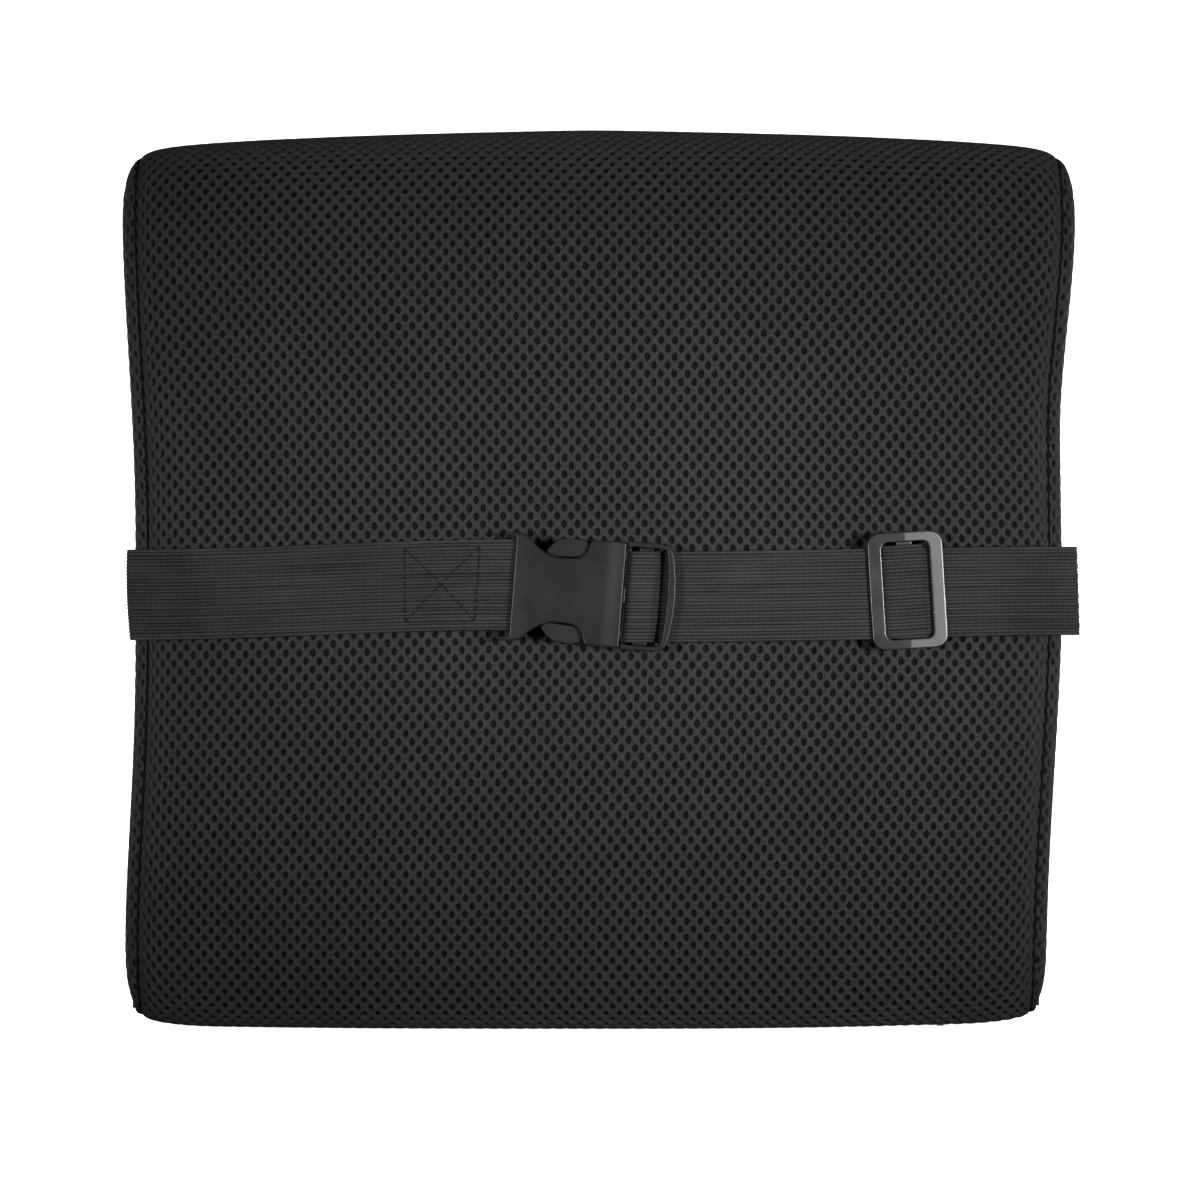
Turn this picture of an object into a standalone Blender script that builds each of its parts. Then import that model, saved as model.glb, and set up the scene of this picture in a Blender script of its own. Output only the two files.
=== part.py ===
"""Lumbar support cushion: a contoured foam block in a zipped spacer-mesh cover, with an elastic strap
that is buckled across its back.

Frame: +Z up, the cushion stands on its base at z = 0. The strap side faces -Y, the user's side +Y, and +X is
to the right of someone who looks at the strap. The origin is on the base, under the middle of the cushion.
"""

import math

import bmesh
import bpy
from mathutils import Matrix, Vector

MM = 0.001
GAP = 0.3 * MM  # clearance between pieces that touch on the real object

# Cushion, from outside to inside
COVER_THICK = 4.5 * MM
LINER_INSET = 5.3 * MM
LINER_THICK = 0.6 * MM
FOAM_INSET = 6.4 * MM
WRAP_HALF = 157.5 * MM  # the wrapped panels end here, at the side seams
SEAM_ROOM = 2.0 * MM  # room in the side seam for the webbing's sewn end
END_ROUND = 26.0 * MM  # how far from a side seam the wrap starts to turn in
END_DROP = 11.0 * MM  # how far it has turned in at the seam
HEIGHT_DROP = 0.4  # share of that turn by which the height drops too
TOP_CROWN = 0.018  # share of the height that the top falls by at the sides
TOP_FLARE = 0.032  # share of the width that the top is wider by than the waist
FLARE_Z = (167 * MM, 305 * MM)
ZIP_BACK = -26.0 * MM
ZIP_FRONT = -6.0 * MM
ZIP_MIDDLE = (ZIP_BACK + ZIP_FRONT) / 2

# Side profile of the cover, as (y, z) in mm: from the zip's front edge along the base, up the lumbar side,
# over the top and down the strap side to the zip's back edge
FRONT_PROFILE = [
    (-6, 0), (8, 0), (22, 0), (33, 4), (41, 13), (47, 28), (52.5, 49), (57, 79), (58.5, 108), (55.5, 138),
    (48, 177), (39, 221), (32, 261.5), (27, 289.2), (22, 305), (14, 315.6),
]  # fmt: skip
BACK_PROFILE = [
    (2, 321.3), (-14, 323.6), (-29, 322.2), (-40, 315.6), (-45.5, 303.4), (-48, 285), (-48, 247), (-48, 211),
    (-48, 193), (-46.9, 183), (-46.8, 157), (-46.9, 132), (-48, 122), (-48, 98), (-48, 59), (-47.6, 36),
    (-45.5, 19), (-41, 7), (-34, 1), (-26, 0),
]  # fmt: skip
PROFILE_MIDDLE = (5 * MM, 160 * MM)
PROFILE_HALF = (50 * MM, 157 * MM)
FRONT_STEPS = 30
BACK_STEPS = 32
PANEL_STATIONS = [0.0, 0.42, 0.72, 0.86, 0.93, 0.975, 1.0]  # shares of WRAP_HALF

# Webbing
WEB_WIDTH = 32.0 * MM
WEB_THICK = 1.2 * MM
STRAP_Z = 157.6 * MM

# Side-release buckle, in its own frame: x along the strap, y out of the back, z across
BUCKLE_X = -12.0 * MM
BUCKLE_Z = 157.7 * MM
BUCKLE_TILT = math.radians(4.5)
BODY_BACK = -48.4 * MM  # the face that lies on the cushion
BODY_THICK = 10.0 * MM
BODY_ROUND = 1.0 * MM
BODY_END = 20.0 * MM
BAR_X = -15.0 * MM
BAR_Y = -53.4 * MM
BAR_RADIUS = 1.7 * MM
MOUTH_HALF = 17.0 * MM
SOCKET_START = -9.3 * MM
STRAP_ROOM_END = -11.0 * MM
SOCKET_Y = (-56.7 * MM, -51.2 * MM)
INSERT_Y = (-56.2 * MM, -51.7 * MM)
PRONG_Y = (-56.1 * MM, -51.8 * MM)
FLANGE_X = (20.7 * MM, 22.2 * MM)
CROSSBAR_X = (25.0 * MM, 31.0 * MM)
CROSSBAR_Y = (-55.4 * MM, -52.4 * MM)
PRONG_ROOT_X = 19.4 * MM
PRONG_ROOT_Z = 13.8 * MM
# Upper half of the body's outline, (x, z) in mm, from the mouth to the strap end
BODY_OUTLINE = [
    (20.0, 0), (20.0, 18.6), (9.3, 18.5), (7.7, 17.3), (7.0, 14.6), (5.6, 12.6), (3.0, 11.6), (-1.5, 11.4),
    (-5.0, 11.8), (-10.0, 14.3), (-14.6, 18.3), (-17.5, 19.0), (-20.8, 18.9), (-22.6, 17.8), (-18.2, 17.6),
    (-18.2, 0),
]  # fmt: skip
# The latch arm above the middle: a plain arm that widens into the pad a thumb presses
PRONG_OUTLINE = [
    (20.2, 15.3), (9.0, 15.4), (7.2, 17.4), (5.0, 18.2), (0.0, 18.2), (-3.5, 17.4), (-6.6, 14.4),
    (-7.0, 12.6),
    (-5.0, 11.6), (2.0, 12.0), (12.0, 12.3), (20.2, 12.3),
]  # fmt: skip
# Upper half of the insert's strap frame
FRAME_OUTLINE = [
    (20.7, 0), (20.7, 19.0), (32.5, 18.8), (35.4, 17.8), (36.9, 15.2), (38.1, 9.0), (38.6, 0),
]  # fmt: skip

# Strap adjuster, in its own frame
ADJUSTER_X = 108.3 * MM
ADJUSTER_Z = 157.8 * MM
ADJUSTER_TILT = math.radians(-3.5)
ADJUSTER_SIZE = (26.6 * MM, 41.2 * MM)
ADJUSTER_WINDOW = (17.2 * MM, 34.4 * MM)
ADJUSTER_CORNER = 4.6 * MM
WINDOW_CORNER = 2.6 * MM
ADJUSTER_Y = (-56.6 * MM, -54.8 * MM)
MIDDLE_BAR_Y = (-51.5 * MM, -49.9 * MM)
MIDDLE_BAR_HALF = 3.0 * MM

# Zip
ZIP_HALF = 136.0 * MM
TAPE_Z = (4.8 * MM, 5.2 * MM)
TAPE_WIDTH = 9.6 * MM
COIL_Z = (3.0 * MM, 4.5 * MM)
COIL_WIDTH = 2.6 * MM
ZIP_SPLIT = 1.6 * MM  # between the two tapes, where the slider's post runs
SLIDER_X = 127.0 * MM
SLIDER_LENGTH = 11.0 * MM
PULL_LENGTH = 22.0 * MM
PULL_PIN_X = 123.5 * MM
PULL_PIN_Z = 1.0 * MM


# ---------------------------------------------------------------- helpers


def clear_scene():
    for found in list(bpy.data.objects):
        bpy.data.objects.remove(found, do_unlink=True)


def collection(name, shown=True):
    made = bpy.data.collections.new(name)
    made.hide_render = not shown
    bpy.context.scene.collection.children.link(made)
    return made


def material(name, colour, roughness, metallic=0.0):
    made = bpy.data.materials.new(name)
    made.use_nodes = True
    shader = made.node_tree.nodes["Principled BSDF"]
    shader.inputs["Base Color"].default_value = (*colour, 1.0)
    shader.inputs["Roughness"].default_value = roughness
    shader.inputs["Metallic"].default_value = metallic
    return made


def add(name, data, group, finish=None, parent=None):
    """A new object, placed in its group and given its material."""
    made = bpy.data.objects.new(name, data)
    group.objects.link(made)
    if finish:
        data.materials.append(finish)
    made.parent = parent
    return made


def frame_empty(name, place, tilt):
    """An empty whose x axis is turned by tilt, clockwise as seen from the strap side."""
    made = bpy.data.objects.new(name, None)
    PARTS.objects.link(made)
    made.location = place
    made.rotation_euler = (0, tilt, 0)
    return made


def box(name, low, high, group, finish=None, parent=None, bevel=0.0):
    """A box between two corners, with rounded edges if bevel is given."""
    mesh = bpy.data.meshes.new(name)
    shape = bmesh.new()
    bmesh.ops.create_cube(shape, size=1.0)
    low, high = Vector(low), Vector(high)
    for corner in shape.verts:
        for k in range(3):
            corner.co[k] = high[k] if corner.co[k] > 0 else low[k]
    shape.to_mesh(mesh)
    shape.free()
    made = add(name, mesh, group, finish, parent)
    if bevel:
        round_edges(made, bevel)
    return made


def rod(name, start, end, radius, group, finish=None, parent=None, sides=20):
    """A round bar between two points."""
    start, end = Vector(start), Vector(end)
    mesh = bpy.data.meshes.new(name)
    shape = bmesh.new()
    bmesh.ops.create_cone(
        shape, cap_ends=True, segments=sides, radius1=radius, radius2=radius, depth=(end - start).length
    )
    turn = (end - start).to_track_quat("Z", "Y").to_matrix().to_4x4()
    bmesh.ops.transform(shape, matrix=Matrix.Translation((start + end) / 2) @ turn, verts=shape.verts)
    shape.to_mesh(mesh)
    shape.free()
    return add(name, mesh, group, finish, parent)


def round_edges(target, width, segments=2):
    bevel = target.modifiers.new("rounded", "BEVEL")
    bevel.width = width
    bevel.segments = segments
    bevel.limit_method = "ANGLE"
    bevel.angle_limit = math.radians(40)


def outline_solid(name, points, thickness, rounding, group):
    """A flat outline in local XY, extruded along local Z about the middle, with rounded rims."""
    curve = bpy.data.curves.new(name, "CURVE")
    curve.dimensions = "2D"
    curve.fill_mode = "BOTH"
    curve.extrude = thickness / 2
    spline = curve.splines.new("POLY")
    spline.points.add(len(points) - 1)
    for target, (u, v) in zip(spline.points, points):
        target.co = (u, v, 0, 1)
    spline.use_cyclic_u = True
    helper = bpy.data.objects.new(name + "_outline", curve)
    bpy.context.scene.collection.objects.link(helper)
    graph = bpy.context.evaluated_depsgraph_get()
    mesh = bpy.data.meshes.new_from_object(helper.evaluated_get(graph))
    bpy.data.objects.remove(helper)
    weld(mesh)
    made = add(name, mesh, group)
    if rounding:
        round_edges(made, rounding)
    return made


def weld(mesh):
    shape = bmesh.new()
    shape.from_mesh(mesh)
    bmesh.ops.remove_doubles(shape, verts=shape.verts, dist=0.00001)
    bmesh.ops.recalc_face_normals(shape, faces=shape.faces)
    shape.to_mesh(mesh)
    shape.free()


def move_points(target, rule):
    """Moves each of the mesh's points to where rule(point) says."""
    for point in target.data.vertices:
        point.co = rule(point.co.copy())


def upright(target, middle_y):
    """Turns an outline drawn in local XY into the XZ plane, centred on middle_y."""
    move_points(target, lambda p: Vector((p.x, middle_y - p.z, p.y)))


def dress(target, finish, parent=None, location=(0, 0, 0)):
    target.data.materials.clear()
    target.data.materials.append(finish)
    target.parent = parent
    target.location = location
    target.data.shade_smooth()
    target.data.set_sharp_from_angle(angle=math.radians(35))


def boolean(target, other, operation="DIFFERENCE"):
    made = target.modifiers.new(operation.lower() + "_" + other.name, "BOOLEAN")
    made.operation = operation
    made.object = other
    made.solver = "EXACT"


def smooth_line(anchors, per_span=8):
    """Points along a Catmull-Rom curve through the anchors."""
    ends = [2 * Vector(anchors[0]) - Vector(anchors[1])]
    line = ends + [Vector(a) for a in anchors]
    line.append(2 * Vector(anchors[-1]) - Vector(anchors[-2]))
    points = []
    for a, b, c, d in zip(line, line[1:], line[2:], line[3:]):
        for step in range(per_span):
            t = step / per_span
            square = 2 * a - 5 * b + 4 * c - d
            cube = 3 * b - a - 3 * c + d
            points.append(0.5 * (2 * b + (c - a) * t + square * t**2 + cube * t**3))
    return [*points, line[-2]]


def spaced(points, count):
    """count + 1 points at even distances along a line."""
    along = [0.0]
    for a, b in zip(points, points[1:]):
        along.append(along[-1] + (b - a).length)
    found, k = [], 0
    for step in range(count + 1):
        want = along[-1] * step / count
        while k < len(points) - 2 and along[k + 1] < want:
            k += 1
        share = (want - along[k]) / max(along[k + 1] - along[k], 1e-12)
        found.append(points[k].lerp(points[k + 1], min(max(share, 0.0), 1.0)))
    return found


def rounded_rectangle(width, height, corner, steps=5):
    points = []
    for turn in range(4):
        middle = Vector((width / 2 - corner, height / 2 - corner))
        if turn in (1, 2):
            middle.x = -middle.x
        if turn in (2, 3):
            middle.y = -middle.y
        for step in range(steps + 1):
            angle = math.radians(90 * (turn + step / steps))
            points.append(middle + corner * Vector((math.cos(angle), math.sin(angle))))
    return points


def mirrored(half):
    """A whole outline from its upper half, whose first and last points lie on the x axis."""
    upper = [Vector((x * MM, z * MM)) for x, z in half]
    lower = [Vector((p.x, -p.y)) for p in reversed(upper[1:-1])]
    return upper + lower


# ---------------------------------------------------------------- the cushion's shape


def profile_ring(inset=0.0):
    """The closed side profile, moved inwards by inset. Its last point bridges the zip's gap."""
    per_span = 8
    line = smooth_line([(y * MM, z * MM) for y, z in FRONT_PROFILE + BACK_PROFILE], per_span)
    top_seam = (len(FRONT_PROFILE) - 1) * per_span
    ring = spaced(line[: top_seam + 1], FRONT_STEPS) + spaced(line[top_seam:], BACK_STEPS)[1:]
    ring = [Vector((p.x, max(p.y, 0.0))) for p in ring] + [Vector((ZIP_MIDDLE, 0.0))]
    moved = []
    for k, point in enumerate(ring):
        before, after = ring[k - 1], ring[(k + 1) % len(ring)]
        along = ((after - point).normalized() + (point - before).normalized()).normalized()
        moved.append(point + inset * Vector((-along.y, along.x)))
    return moved


def ease(value, start, end):
    """0 before start, 1 after end, smooth between them."""
    share = min(max((value - start) / (end - start), 0.0), 1.0)
    return share * share * (3 - 2 * share)


def turn_in(x):
    """How far the section at x is turned in from the middle section."""
    share = max(0.0, (abs(x) - (WRAP_HALF - END_ROUND)) / END_ROUND)
    return END_DROP * (1 - math.sqrt(max(0.0, 1 - 0.98 * share**2)))


def section(x, line, turn):
    """The line at x, drawn in towards the middle of the profile by turn on every side."""
    crown = 1 - TOP_CROWN * (x / WRAP_HALF) ** 2
    middle = Vector(PROFILE_MIDDLE)
    points = []
    for p in line:
        away = p - middle
        y = middle.x + away.x * (1 - turn / PROFILE_HALF[0])
        z = (middle.y + away.y * (1 - HEIGHT_DROP * turn / PROFILE_HALF[1])) * crown
        points.append(Vector((x * (1 + TOP_FLARE * ease(z, *FLARE_Z)), y, z)))
    return points


def loft(name, sections, leave_out=(), capped=True):
    """A loft through closed sections, each closed by cross-strips from its first half to its second."""
    mesh = bpy.data.meshes.new(name)
    shape = bmesh.new()
    rows = [[shape.verts.new(p) for p in row] for row in sections]
    count = len(rows[0])
    for a, b in zip(rows, rows[1:]):
        for k in range(count):
            if k not in leave_out:
                n = (k + 1) % count
                shape.faces.new((a[k], a[n], b[n], b[k]))
    for row in (rows[0], rows[-1]) if capped else ():
        for k in range((count - 1) // 2):
            far = count - 1 - k
            corners = [row[k], row[k + 1], row[far - 1], row[far]]
            shape.faces.new(list(dict.fromkeys(corners)))
    bmesh.ops.recalc_face_normals(shape, faces=shape.faces)
    shape.to_mesh(mesh)
    shape.free()
    return mesh


def both_sides(half):
    """(x, turn) stations for the whole width, from the right half's, whose x is told from the side seam."""
    right = [(WRAP_HALF - x * MM, turn * MM) for x, turn in half]
    return [(-x, turn) for x, turn in reversed(right)] + right


def pulled_back(line, first, last):
    """The line, with its first and last points moved along it by these distances."""
    line = list(line)
    line[0] = line[0] + first * (line[1] - line[0]).normalized()
    line[-1] = line[-1] + last * (line[-2] - line[-1]).normalized()
    return line


def cover_panel(name, start, stop, first_gap, last_gap):
    """A wrapped panel of the cover, between two places on the profile."""
    outer = pulled_back(profile_ring()[start : stop + 1], first_gap, last_gap)
    inner = pulled_back(profile_ring(COVER_THICK)[start : stop + 1], first_gap, last_gap)
    stations = sorted({sign * share * WRAP_HALF for share in PANEL_STATIONS for sign in (-1, 1)})
    rows = [section(x, outer + inner[::-1], turn_in(x)) for x in stations]
    made = add(name, loft(name, rows), PARTS)
    dress(made, MESH_FABRIC)


def side_gusset(name, side):
    """The side panel, sewn to the wrap's end and bulging a little."""
    ring = profile_ring()[::2]
    bulge = [(0.0, 0.0), (1.6, 0.0), (3.4, 1.6), (4.8, 6.0), (5.6, 16.0)]
    rows = []
    for out, turn in bulge:
        x = side * (WRAP_HALF + SEAM_ROOM + out * MM)
        rows.append(section(x, ring, turn_in(WRAP_HALF) + turn * MM))
    made = add(name, loft(name, rows), PARTS)
    dress(made, MESH_FABRIC)


def foam_core():
    stations = both_sides([(120, 0.0), (72, 0.0), (34, 0.4), (20, 2.4), (11, 6.4), (7, 11.5)])
    rows = [section(x, profile_ring(FOAM_INSET)[::2], turn) for x, turn in stations]
    dress(add("foam_core", loft("foam_core", rows), PARTS), FOAM)


def inner_liner():
    """A knitted sock round the foam. Its slit faces the zip."""
    ring = profile_ring(LINER_INSET)
    slit = {len(ring) - 2, len(ring) - 1}
    stations = both_sides([(120, 0.0), (72, 0.0), (32, 0.4), (18, 2.4), (9, 6.4), (5, 11.0)])
    rows = [section(x, ring, turn) for x, turn in stations]
    mesh = loft("inner_liner", rows, leave_out=slit)
    made = add("inner_liner", mesh, PARTS)
    dress(made, LINER)
    middle = Vector((0, 0, PROFILE_MIDDLE[1]))
    if sum(face.normal.dot(face.center - middle) * face.area for face in mesh.polygons) < 0:
        mesh.flip_normals()
    wall = made.modifiers.new("thickness", "SOLIDIFY")
    wall.thickness = LINER_THICK
    wall.offset = -1


# ---------------------------------------------------------------- webbing


def webbing(name, anchors, rule, half_width=WEB_WIDTH / 2, per_span=6):
    """A strip of webbing: a path in the XY plane, thickened, drawn out along Z, then placed by rule."""
    line = smooth_line([Vector((x * MM, y * MM)) for x, y in anchors], per_span)
    left, right = [], []
    for k, point in enumerate(line):
        along = (line[min(k + 1, len(line) - 1)] - line[max(k - 1, 0)]).normalized()
        across = Vector((-along.y, along.x)) * WEB_THICK / 2
        left.append(point + across)
        right.append(point - across)
    made = outline_solid(name, left + right[::-1], 2 * half_width, 0.0, PARTS)
    move_points(made, rule)
    dress(made, ELASTIC)
    return made


def left_strap_place(p):
    """Level at the side seam, rising to the buckle, and leaning with the buckle's bar there."""
    near = ease(p.x, -62 * MM, -38 * MM)
    rise = (-0.5 + 2.6 * ease(p.x, -165 * MM, -35 * MM)) * MM
    lean = math.tan(BUCKLE_TILT) * near * p.z
    return Vector((p.x + lean, p.y, STRAP_Z + rise + p.z))


def right_strap_place(p):
    """Level from the side seam to the adjuster, then down to the insert, leaning with its bar there."""
    near = 1 - ease(p.x, 32 * MM, 62 * MM)
    lean = math.tan(BUCKLE_TILT) * near * p.z
    return Vector((p.x + lean, p.y, STRAP_Z - 2.1 * MM * near + p.z))


def left_strap():
    """From the left seam, folded over and along the back, round the buckle's bar, and back under itself."""
    bar = BUCKLE_X / MM + BAR_X / MM * math.cos(BUCKLE_TILT)
    middle = BAR_Y / MM
    reach = BAR_RADIUS / MM + 0.35 + WEB_THICK / MM / 2
    loop = [
        (bar + reach * math.sin(math.radians(a)), middle - reach * math.cos(math.radians(a)))
        for a in (0, 45, 90, 135, 180)
    ]
    anchors = [
        (-158.5, -33), (-158.6, -40), (-160.6, -45.2), (-163.6, -48.2), (-165.0, -50.6), (-164.0, -52.4),
        (-160, -52.5),
        (-151, -51.4), (-138, -50.6), (-100, -50.5), (-74, -50.5), (-54, -52.6), (-41, -55.3), (-35, -56.0),
        *loop, (-35, -50.7), (-41, -50.0), (-52, -49.2), (-68, -49.0),
    ]  # fmt: skip
    webbing("left_strap", anchors, left_strap_place, per_span=4)


def right_strap():
    """From the right seam, folded over, under the adjuster, round the insert's crossbar and back."""
    bar = (BUCKLE_X + sum(CROSSBAR_X) / 2 * math.cos(BUCKLE_TILT)) / MM
    half = (CROSSBAR_X[1] - CROSSBAR_X[0]) / MM / 2
    top = CROSSBAR_Y[0] / MM - 1.0
    under = CROSSBAR_Y[1] / MM + 1.0
    anchors = [
        (158.5, -33), (158.6, -40), (160.8, -46.4), (165.0, -50.8), (167.4, -54.4), (166.6, -57.0),
        (162, -57.4),
        (153, -56.0), (144, -54.4), (134, -53.9), (110, -53.9), (70, -53.9), (44, -53.9), (36, -52.6),
        (30, -50.9), (25.5, -50.5), (bar + half + 3.2, -50.9), (bar + half + 1.5, -54.0),
        (bar + half, -56.0), (bar + half - 2, top), (bar - half + 1.2, top), (bar - half - 0.7, top + 0.9),
        (bar - half - 1.1, top + 2.5), (bar - half - 0.4, under - 0.5), (bar - half + 1.6, under),
        (bar + 1.0, under + 0.5), (bar + half, -49.3),
        (25.5, -49.0), (32, -49.0), (60, -49.0), (84, -49.0),
    ]  # fmt: skip
    webbing("right_strap", anchors, right_strap_place, per_span=3)


def adjuster_loop(parent):
    """The strap's free end, sewn round the adjuster's middle bar."""
    high = MIDDLE_BAR_Y[0] / MM - 0.9
    low = MIDDLE_BAR_Y[1] / MM + 0.9
    middle, reach = (high + low) / 2, (low - high) / 2
    half = MIDDLE_BAR_HALF / MM
    loop = [
        (half + 0.4 + reach * math.sin(math.radians(a)), middle - reach * math.cos(math.radians(a)))
        for a in (0, 45, 90, 135, 180)
    ]
    anchors = [
        (-21, -50.55), (-14, -50.55), (-8.6, -50.7), (-6.2, -51.7), (-half, high), *loop, (-half, low),
        (-21, low),
    ]  # fmt: skip
    made = webbing("adjuster_loop", anchors, lambda p: p, per_span=3)
    made.parent = parent


# ---------------------------------------------------------------- buckle


def buckle_body(parent):
    middle = BODY_BACK - BODY_THICK / 2
    made = outline_solid("buckle_body", mirrored(BODY_OUTLINE), BODY_THICK, BODY_ROUND, PARTS)
    upright(made, middle)
    dress(made, BUCKLE_PLASTIC, parent)
    wide = 17.2 * MM
    strap_room = box(
        "strap_room_cutter",
        (-30 * MM, -56.9 * MM, -wide),
        (STRAP_ROOM_END, -49.9 * MM, wide),
        CUTTERS,
        parent=parent,
    )
    socket = box(
        "socket_cutter",
        (SOCKET_START, SOCKET_Y[0], -MOUTH_HALF),
        (BODY_END + 5 * MM, SOCKET_Y[1], MOUTH_HALF),
        CUTTERS,
        parent=parent,
    )
    bar = rod(
        "strap_bar_cutter",
        (BAR_X, BAR_Y, -18.4 * MM),
        (BAR_X, BAR_Y, 18.4 * MM),
        BAR_RADIUS,
        CUTTERS,
        parent=parent,
    )
    boolean(made, strap_room)
    boolean(made, socket)
    boolean(made, bar, "UNION")


def buckle_insert(parent):
    """The half that plugs in: a strap frame with a crossbar, and the blade that guides it into the socket."""
    made = outline_solid("buckle_insert", mirrored(FRAME_OUTLINE), INSERT_Y[1] - INSERT_Y[0], 0.8 * MM, PARTS)
    upright(made, sum(INSERT_Y) / 2)
    dress(made, BUCKLE_PLASTIC, parent)
    window = outline_solid(
        "window_cutter", rounded_rectangle(13.4 * MM, 33.8 * MM, 1.5 * MM, 2), 20 * MM, 0.0, CUTTERS
    )
    upright(window, sum(INSERT_Y) / 2)
    move_points(window, lambda p: p + Vector((FLANGE_X[1] + 6.7 * MM, 0, 0)))
    window.parent = parent
    crossbar = box(
        "crossbar_cutter",
        (CROSSBAR_X[0], CROSSBAR_Y[0], -17.9 * MM),
        (CROSSBAR_X[1], CROSSBAR_Y[1], 17.9 * MM),
        CUTTERS,
        parent=parent,
        bevel=0.9 * MM,
    )
    blade = box(
        "blade_cutter",
        (-6.5 * MM, PRONG_Y[0], -3 * MM),
        (21.5 * MM, PRONG_Y[1], 3 * MM),
        CUTTERS,
        parent=parent,
    )
    boolean(made, window)
    boolean(made, crossbar, "UNION")
    boolean(made, blade, "UNION")


def buckle_prong(name, side, parent):
    """A latch arm. Its origin is where it flexes."""
    root = Vector((PRONG_ROOT_X, sum(PRONG_Y) / 2, side * PRONG_ROOT_Z))
    points = [Vector((x * MM, side * z * MM)) for x, z in PRONG_OUTLINE]
    made = outline_solid(name, points, PRONG_Y[1] - PRONG_Y[0], 0.4 * MM, PARTS)
    upright(made, sum(PRONG_Y) / 2)
    move_points(made, lambda p: p - root)
    dress(made, BUCKLE_PLASTIC, parent, root)


def strap_adjuster(parent):
    """A flat frame with a middle bar set lower, so that the webbing passes over it and under the frame."""
    made = outline_solid(
        "strap_adjuster",
        rounded_rectangle(*ADJUSTER_SIZE, ADJUSTER_CORNER),
        ADJUSTER_Y[1] - ADJUSTER_Y[0],
        0.35 * MM,
        PARTS,
    )
    upright(made, sum(ADJUSTER_Y) / 2)
    dress(made, ADJUSTER_METAL, parent)
    window = outline_solid(
        "adjuster_window_cutter", rounded_rectangle(*ADJUSTER_WINDOW, WINDOW_CORNER), 10 * MM, 0.0, CUTTERS
    )
    upright(window, sum(ADJUSTER_Y) / 2)
    window.parent = parent
    boolean(made, window)
    post = (17.3 * MM, 19.3 * MM)
    for side, label in ((-1, "lower"), (1, "upper")):
        low, high = sorted((side * post[0], side * post[1]))
        leg = box(
            f"{label}_post_cutter",
            (-MIDDLE_BAR_HALF, ADJUSTER_Y[1] - 0.8 * MM, low),
            (MIDDLE_BAR_HALF, MIDDLE_BAR_Y[1], high),
            CUTTERS,
            parent=parent,
        )
        boolean(made, leg, "UNION")
    bar = box(
        "middle_bar_cutter",
        (-MIDDLE_BAR_HALF + 0.2 * MM, MIDDLE_BAR_Y[0], -18.6 * MM),
        (MIDDLE_BAR_HALF - 0.2 * MM, MIDDLE_BAR_Y[1] - 0.1 * MM, 18.6 * MM),
        CUTTERS,
        parent=parent,
    )
    boolean(made, bar, "UNION")


# ---------------------------------------------------------------- zip


def zipper():
    """The zip along the base: two tapes, each with its coil, the end stops, the slider and its pull."""
    for side, label in ((-1, "back"), (1, "front")):
        inner = ZIP_MIDDLE + side * ZIP_SPLIT / 2
        y_tape = sorted((inner, inner + side * TAPE_WIDTH))
        y_coil = sorted((inner, inner + side * COIL_WIDTH))
        tape_end = ZIP_HALF - 1 * MM
        box(
            f"zipper_tape_{label}",
            (-tape_end, y_tape[0], TAPE_Z[0]),
            (tape_end, y_tape[1], TAPE_Z[1]),
            PARTS,
            TAPE_FABRIC,
        )
        coil_end = ZIP_HALF - 4 * MM
        box(
            f"zipper_coil_{label}",
            (-coil_end, y_coil[0], COIL_Z[0]),
            (coil_end, y_coil[1], COIL_Z[1]),
            PARTS,
            ZIP_PLASTIC,
            bevel=0.5 * MM,
        )
        stop_low, stop_high = (coil_end + GAP) / MM, (coil_end + 2.8 * MM) / MM
        box(
            f"zipper_top_stop_{label}",
            (stop_low * MM, y_coil[0], COIL_Z[0] - 0.2 * MM),
            (stop_high * MM, y_coil[1], COIL_Z[1]),
            PARTS,
            ZIP_METAL,
            bevel=0.3 * MM,
        )
    reach = ZIP_SPLIT / 2 + COIL_WIDTH
    box(
        "zipper_bottom_stop",
        (-ZIP_HALF + 1.2 * MM, ZIP_MIDDLE - reach, COIL_Z[0] - 0.2 * MM),
        (-ZIP_HALF + 4 * MM - GAP, ZIP_MIDDLE + reach, COIL_Z[1]),
        PARTS,
        ZIP_METAL,
        bevel=0.3 * MM,
    )


def zipper_slider():
    """Two plates that hold the coils between them, joined by the post that parts the coils."""
    place = Vector((SLIDER_X, ZIP_MIDDLE, 0))
    half, wide = SLIDER_LENGTH / 2, 4.9 * MM
    bottom, top = (-half, -wide, 1.8 * MM), (half, wide, 6.0 * MM)
    made = box("zipper_slider", bottom, top, PARTS, ZIP_METAL, bevel=0.5 * MM)
    made.location = place
    for side, label in ((-1, "back"), (1, "front")):
        low, high = sorted((side * 0.45 * MM, side * 3.9 * MM))
        channel = box(
            f"channel_{label}_cutter", (-2 * half, low, 2.6 * MM), (2 * half, high, 4.9 * MM), CUTTERS
        )
        low, high = sorted((side * 0.45 * MM, side * 8 * MM))
        corners = (-2 * half, low, 4.5 * MM), (2 * half, high, 5.5 * MM)
        slot = box(f"tape_slot_{label}_cutter", *corners, CUTTERS)
        low, high = sorted((side * 2.55 * MM, side * 3.45 * MM))
        lug = box(
            f"lug_{label}_cutter",
            (PULL_PIN_X - SLIDER_X - 1.2 * MM, low, 0.5 * MM),
            (PULL_PIN_X - SLIDER_X + 1.2 * MM, high, 2.2 * MM),
            CUTTERS,
        )
        for cutter, operation in ((channel, "DIFFERENCE"), (slot, "DIFFERENCE"), (lug, "UNION")):
            cutter.location = place
            boolean(made, cutter, operation)


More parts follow.
